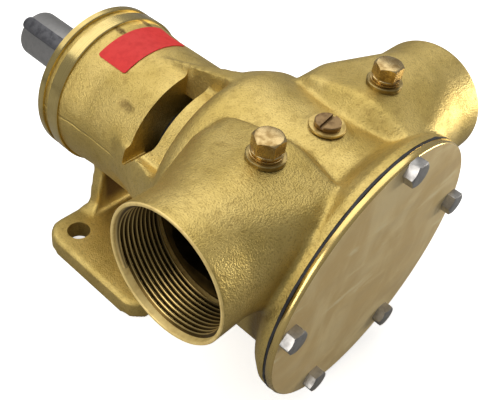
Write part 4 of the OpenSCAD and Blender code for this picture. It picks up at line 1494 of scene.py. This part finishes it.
@dataclass
class RedPlate:
    """Bare red plate that is bent over the bearing housing."""

    angle: float = 61
    radius: float = 41.45 * MM
    thickness: float = 0.3 * MM
    corner: float = 1.6 * MM
    flare_start: float = 118.3
    flare: float = 1.5
    flare_run: float = 16
    steps: int = 40

    def build(self, finishes: "Finishes") -> None:
        """Models the plate flat, rounds its corners and bends it over the neck.

        Args:
            finishes: all finishes of the pump.
        """
        low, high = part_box("red_label")
        middle_y, width = (low.y + high.y) / 2, high.y - low.y
        length = math.radians(self.angle) * self.radius
        bend_y = station(self.flare_start)
        deselect()
        bpy.ops.mesh.primitive_plane_add(size=1)
        plate = bpy.context.object
        plate.name = "red_plate"
        plate.scale = (length, width, 1)
        apply_place(plate)
        bpy.ops.object.mode_set(mode="EDIT")
        bpy.ops.mesh.select_all(action="SELECT")
        bpy.ops.mesh.bevel(offset=self.corner, segments=6, affect="VERTICES")
        for i in range(1, self.steps):
            bpy.ops.mesh.select_all(action="SELECT")
            cut = -length / 2 + length * i / self.steps
            bpy.ops.mesh.bisect(plane_co=(cut, 0, 0), plane_no=(1, 0, 0))
        bpy.ops.mesh.select_all(action="SELECT")
        bpy.ops.mesh.bisect(plane_co=(0, bend_y - middle_y, 0), plane_no=(0, 1, 0))
        deselect()
        for vertex in plate.data.vertices:
            turn = vertex.co.x / self.radius
            y = vertex.co.y + middle_y
            lift = self.radius + max(0.0, (y - bend_y) / self.flare_run * self.flare)
            vertex.co = (lift * math.sin(turn), y, SHAFT_Z + lift * math.cos(turn))
        modify(plate, "SOLIDIFY", thickness=self.thickness, offset=1)
        tidy(plate, 30)
        dress(plate, finishes.red)
        settle(plate, "red_plate", "red_label")


@dataclass(frozen=True)
class Finishes:
    """Every finish of the pump, made once."""

    cast: bpy.types.Material
    machined: bpy.types.Material
    bore: bpy.types.Material
    lip: bpy.types.Material
    rim: bpy.types.Material
    cover: bpy.types.Material
    gasket: bpy.types.Material
    stainless: bpy.types.Material
    plug: bpy.types.Material
    dull_washer: bpy.types.Material
    brown: bpy.types.Material
    light_washer: bpy.types.Material
    shaft: bpy.types.Material
    key: bpy.types.Material
    red: bpy.types.Material
    by_slot: dict


def make_finishes() -> Finishes:
    """Makes all materials.

    Returns:
        The finishes, with the one of each material slot.
    """
    machined = TurnedMetal("machined_brass", (0.70, 0.55, 0.22), (0.36, 0.25, 0.08), 0.17, 0.5)
    rim = TurnedMetal("rim_brass", (0.85, 0.64, 0.24), (0.5, 0.33, 0.1), 0.18, 0.35)
    stainless = PlainFinish("stainless_steel", (0.44, 0.43, 0.42), (0.30, 0.29, 0.28), 1, 0.3)
    lip = PlainFinish("lip_brass", (0.92, 0.70, 0.27), (0.74, 0.53, 0.18), 0.35, 0.36,
                      Grain.MOULDED)
    plug = PlainFinish("browned_brass", (0.64, 0.48, 0.23), (0.34, 0.22, 0.08), 1, 0.2,
                       Grain.MOULDED)
    dull = PlainFinish("dull_washer", (0.42, 0.31, 0.12), (0.22, 0.16, 0.06), 1, 0.3,
                       Grain.MOULDED)
    brown = PlainFinish("brown_screw", (0.34, 0.22, 0.10), (0.15, 0.09, 0.04), 1, 0.33,
                        Grain.MOULDED)
    light = PlainFinish("light_washer", (0.66, 0.49, 0.18), (0.44, 0.31, 0.10), 1, 0.34,
                        Grain.MOULDED)
    shaft = PlainFinish("shaft_steel", (0.40, 0.39, 0.385), (0.34, 0.335, 0.33), 1, 0.36,
                        Grain.TURNED)
    key = PlainFinish("key_steel", (0.13, 0.13, 0.14), (0.08, 0.08, 0.09), 1, 0.42)
    gasket = PlainFinish("gasket_sheet", (0.022, 0.022, 0.028), (0.012, 0.012, 0.015), 0, 0.55,
                         Grain.MOULDED, 0.05 * MM)
    red = PlainFinish("red_film", (0.72, 0.016, 0.012), (0.64, 0.012, 0.010), 0, 0.5,
                      Grain.MOULDED, 0.003 * MM)
    rubber = PlainFinish("black_rubber", (0.018, 0.018, 0.018), (0.01, 0.01, 0.01), 0, 0.5,
                         Grain.MOULDED, 0.03 * MM)
    chrome = PlainFinish("bearing_steel", (0.66, 0.66, 0.68), (0.52, 0.52, 0.54), 1, 0.12,
                         Grain.TURNED, 0.003 * MM)
    inner = PlainFinish("inner_brass", (0.72, 0.52, 0.2), (0.5, 0.34, 0.12), 1, 0.25,
                        Grain.TURNED)
    ceramic = PlainFinish("seal_ceramic", (0.78, 0.75, 0.68), (0.7, 0.66, 0.58), 0, 0.2,
                          Grain.MOULDED, 0.004 * MM)
    carbon = PlainFinish("seal_carbon", (0.04, 0.04, 0.045), (0.025, 0.025, 0.03), 0, 0.35,
                         Grain.MOULDED)
    made = {name: kind.material() for name, kind in {
        "machined": machined, "bore": BoredBrass(), "lip": lip, "rim": rim, "cover": CoverFace(),
        "cast": CastBrass(), "gasket": gasket, "stainless": stainless, "plug": plug,
        "dull_washer": dull, "brown": brown, "light_washer": light, "shaft": shaft, "key": key,
        "red": red}.items()}
    slots = {"stainless": made["stainless"], "shaft_steel": made["shaft"],
             "key_steel": made["key"], "cast_brass": made["cast"], "cover_brass": made["cover"],
             "plug_brass": made["plug"], "gasket_paper": made["gasket"],
             "red_plate": made["red"], "black_rubber": rubber.material(),
             "bearing_steel": chrome.material(), "inner_brass": inner.material(),
             "seal_ceramic": ceramic.material(), "seal_carbon": carbon.material()}
    return Finishes(**made, by_slot=slots)


def dress_inner_nodes(finishes: Finishes) -> None:
    """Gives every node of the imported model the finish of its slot.

    Args:
        finishes: all finishes of the pump.
    """
    for part in frame["record"]["subparts"]:
        node = frame["nodes"][part["node"]]
        dress(node, finishes.by_slot[part["material_slot"]])
        activate(node)
        bpy.ops.object.shade_smooth_by_angle(angle=math.radians(30))
        LOG.info("%s: packed node dressed as %s", node.name, part["material_slot"])


@dataclass(frozen=True)
class Lamp:
    """Soft rectangular lamp that is aimed at a point of the pump."""

    name: str
    place: tuple
    target: tuple
    size: tuple
    power: float
    tint: tuple

    def build(self) -> None:
        """Adds the lamp to the scene."""
        bpy.ops.object.light_add(type="AREA", location=self.place)
        lamp = bpy.context.object
        lamp.name = self.name
        lamp.data.shape = "RECTANGLE"
        lamp.data.size, lamp.data.size_y = self.size
        lamp.data.energy = self.power
        lamp.data.color = self.tint
        aim = Vector(self.target) - Vector(self.place)
        lamp.rotation_euler = aim.to_track_quat("-Z", "Y").to_euler()


@dataclass
class Studio:
    """Pale floor, soft light and the camera of the reference view."""

    eye: tuple = (-0.22980, -0.21677, 0.32977)
    forward: tuple = (0.5956, 0.4207, -0.6843)
    right: tuple = (0.6690, -0.7314, 0.1326)
    lens: float = 53.94
    sensor: float = 36
    surround: float = 0.3
    lamps: tuple = (
        Lamp("top_lamp", (0.1, 0.35, 1.1), (0, -0.05, 0.07), (1.9, 1.5), 12, (1, 0.99, 0.96)),
        Lamp("left_lamp", (-1.0, 0.1, 0.4), (0, -0.05, 0.08), (0.5, 0.8), 4.5, (1, 0.97, 0.92)),
        Lamp("front_lamp", (1.25, -0.8, 0.12), (0, -0.1, 0.08), (0.6, 0.3), 11, (1, 0.97, 0.9)))

    def build(self) -> None:
        """Sets up the camera, the floor, the lamps and the surrounding light."""
        self._camera()
        self._floor()
        for lamp in self.lamps:
            lamp.build()
        self._surround()
        bpy.context.scene.view_settings.view_transform = "Standard"

    def _camera(self) -> None:
        """Camera at the place and angle of the reference view."""
        bpy.ops.object.camera_add(location=self.eye)
        camera = bpy.context.object
        back = -Vector(self.forward).normalized()
        right = Vector(self.right).normalized()
        up = back.cross(right).normalized()
        right = up.cross(back)
        turn = Matrix((right, up, back)).transposed()
        camera.rotation_euler = turn.to_euler()
        camera.data.lens = self.lens
        camera.data.sensor_width = self.sensor
        camera.data.clip_start = 0.01
        bpy.context.scene.camera = camera

    def _floor(self) -> None:
        """Wide pale floor."""
        deselect()
        bpy.ops.mesh.primitive_plane_add(size=6, location=(0, 0, 0))
        floor = bpy.context.object
        floor.name = "studio_floor"
        s = Shader("studio_floor")
        seen = s.node("ShaderNodeLightPath", output="Is Camera Ray")
        s.feed("Base Color", s.blend(seen, (0.34, 0.34, 0.34), (0.98, 0.98, 0.98)))
        s.feed("Emission Color", s.blend(seen, (0, 0, 0), (0.6, 0.6, 0.6)))
        s.feed("Emission Strength", 1.0)
        s.feed("Roughness", 0.9)
        s.feed("Specular IOR Level", 0.1)
        dress(floor, s.material)

    def _surround(self) -> None:
        """Even white light from all sides."""
        world = bpy.data.worlds.new("studio")
        bpy.context.scene.world = world
        world.use_nodes = True
        background = world.node_tree.nodes["Background"]
        background.inputs["Color"].default_value = (1, 1, 1, 1)
        background.inputs["Strength"].default_value = self.surround


def main() -> None:
    """Builds, dresses and lights the whole pump."""
    logging.basicConfig(level=logging.INFO, format="%(message)s")
    Studio().build()
    finishes = make_finishes()
    dress_inner_nodes(finishes)
    Casting().build(finishes)
    for side in (-1, 1):
        ridge = PortThread(side).build()
        dress(ridge, finishes.bore)
        settle(ridge, "cast_brass")
        PortPlug(side).build(finishes)
    EndCover().build(finishes)
    CamScrew().build(finishes)
    DriveShaft().build(finishes)
    RedPlate().build(finishes)


if __name__ == "__main__":
    main()
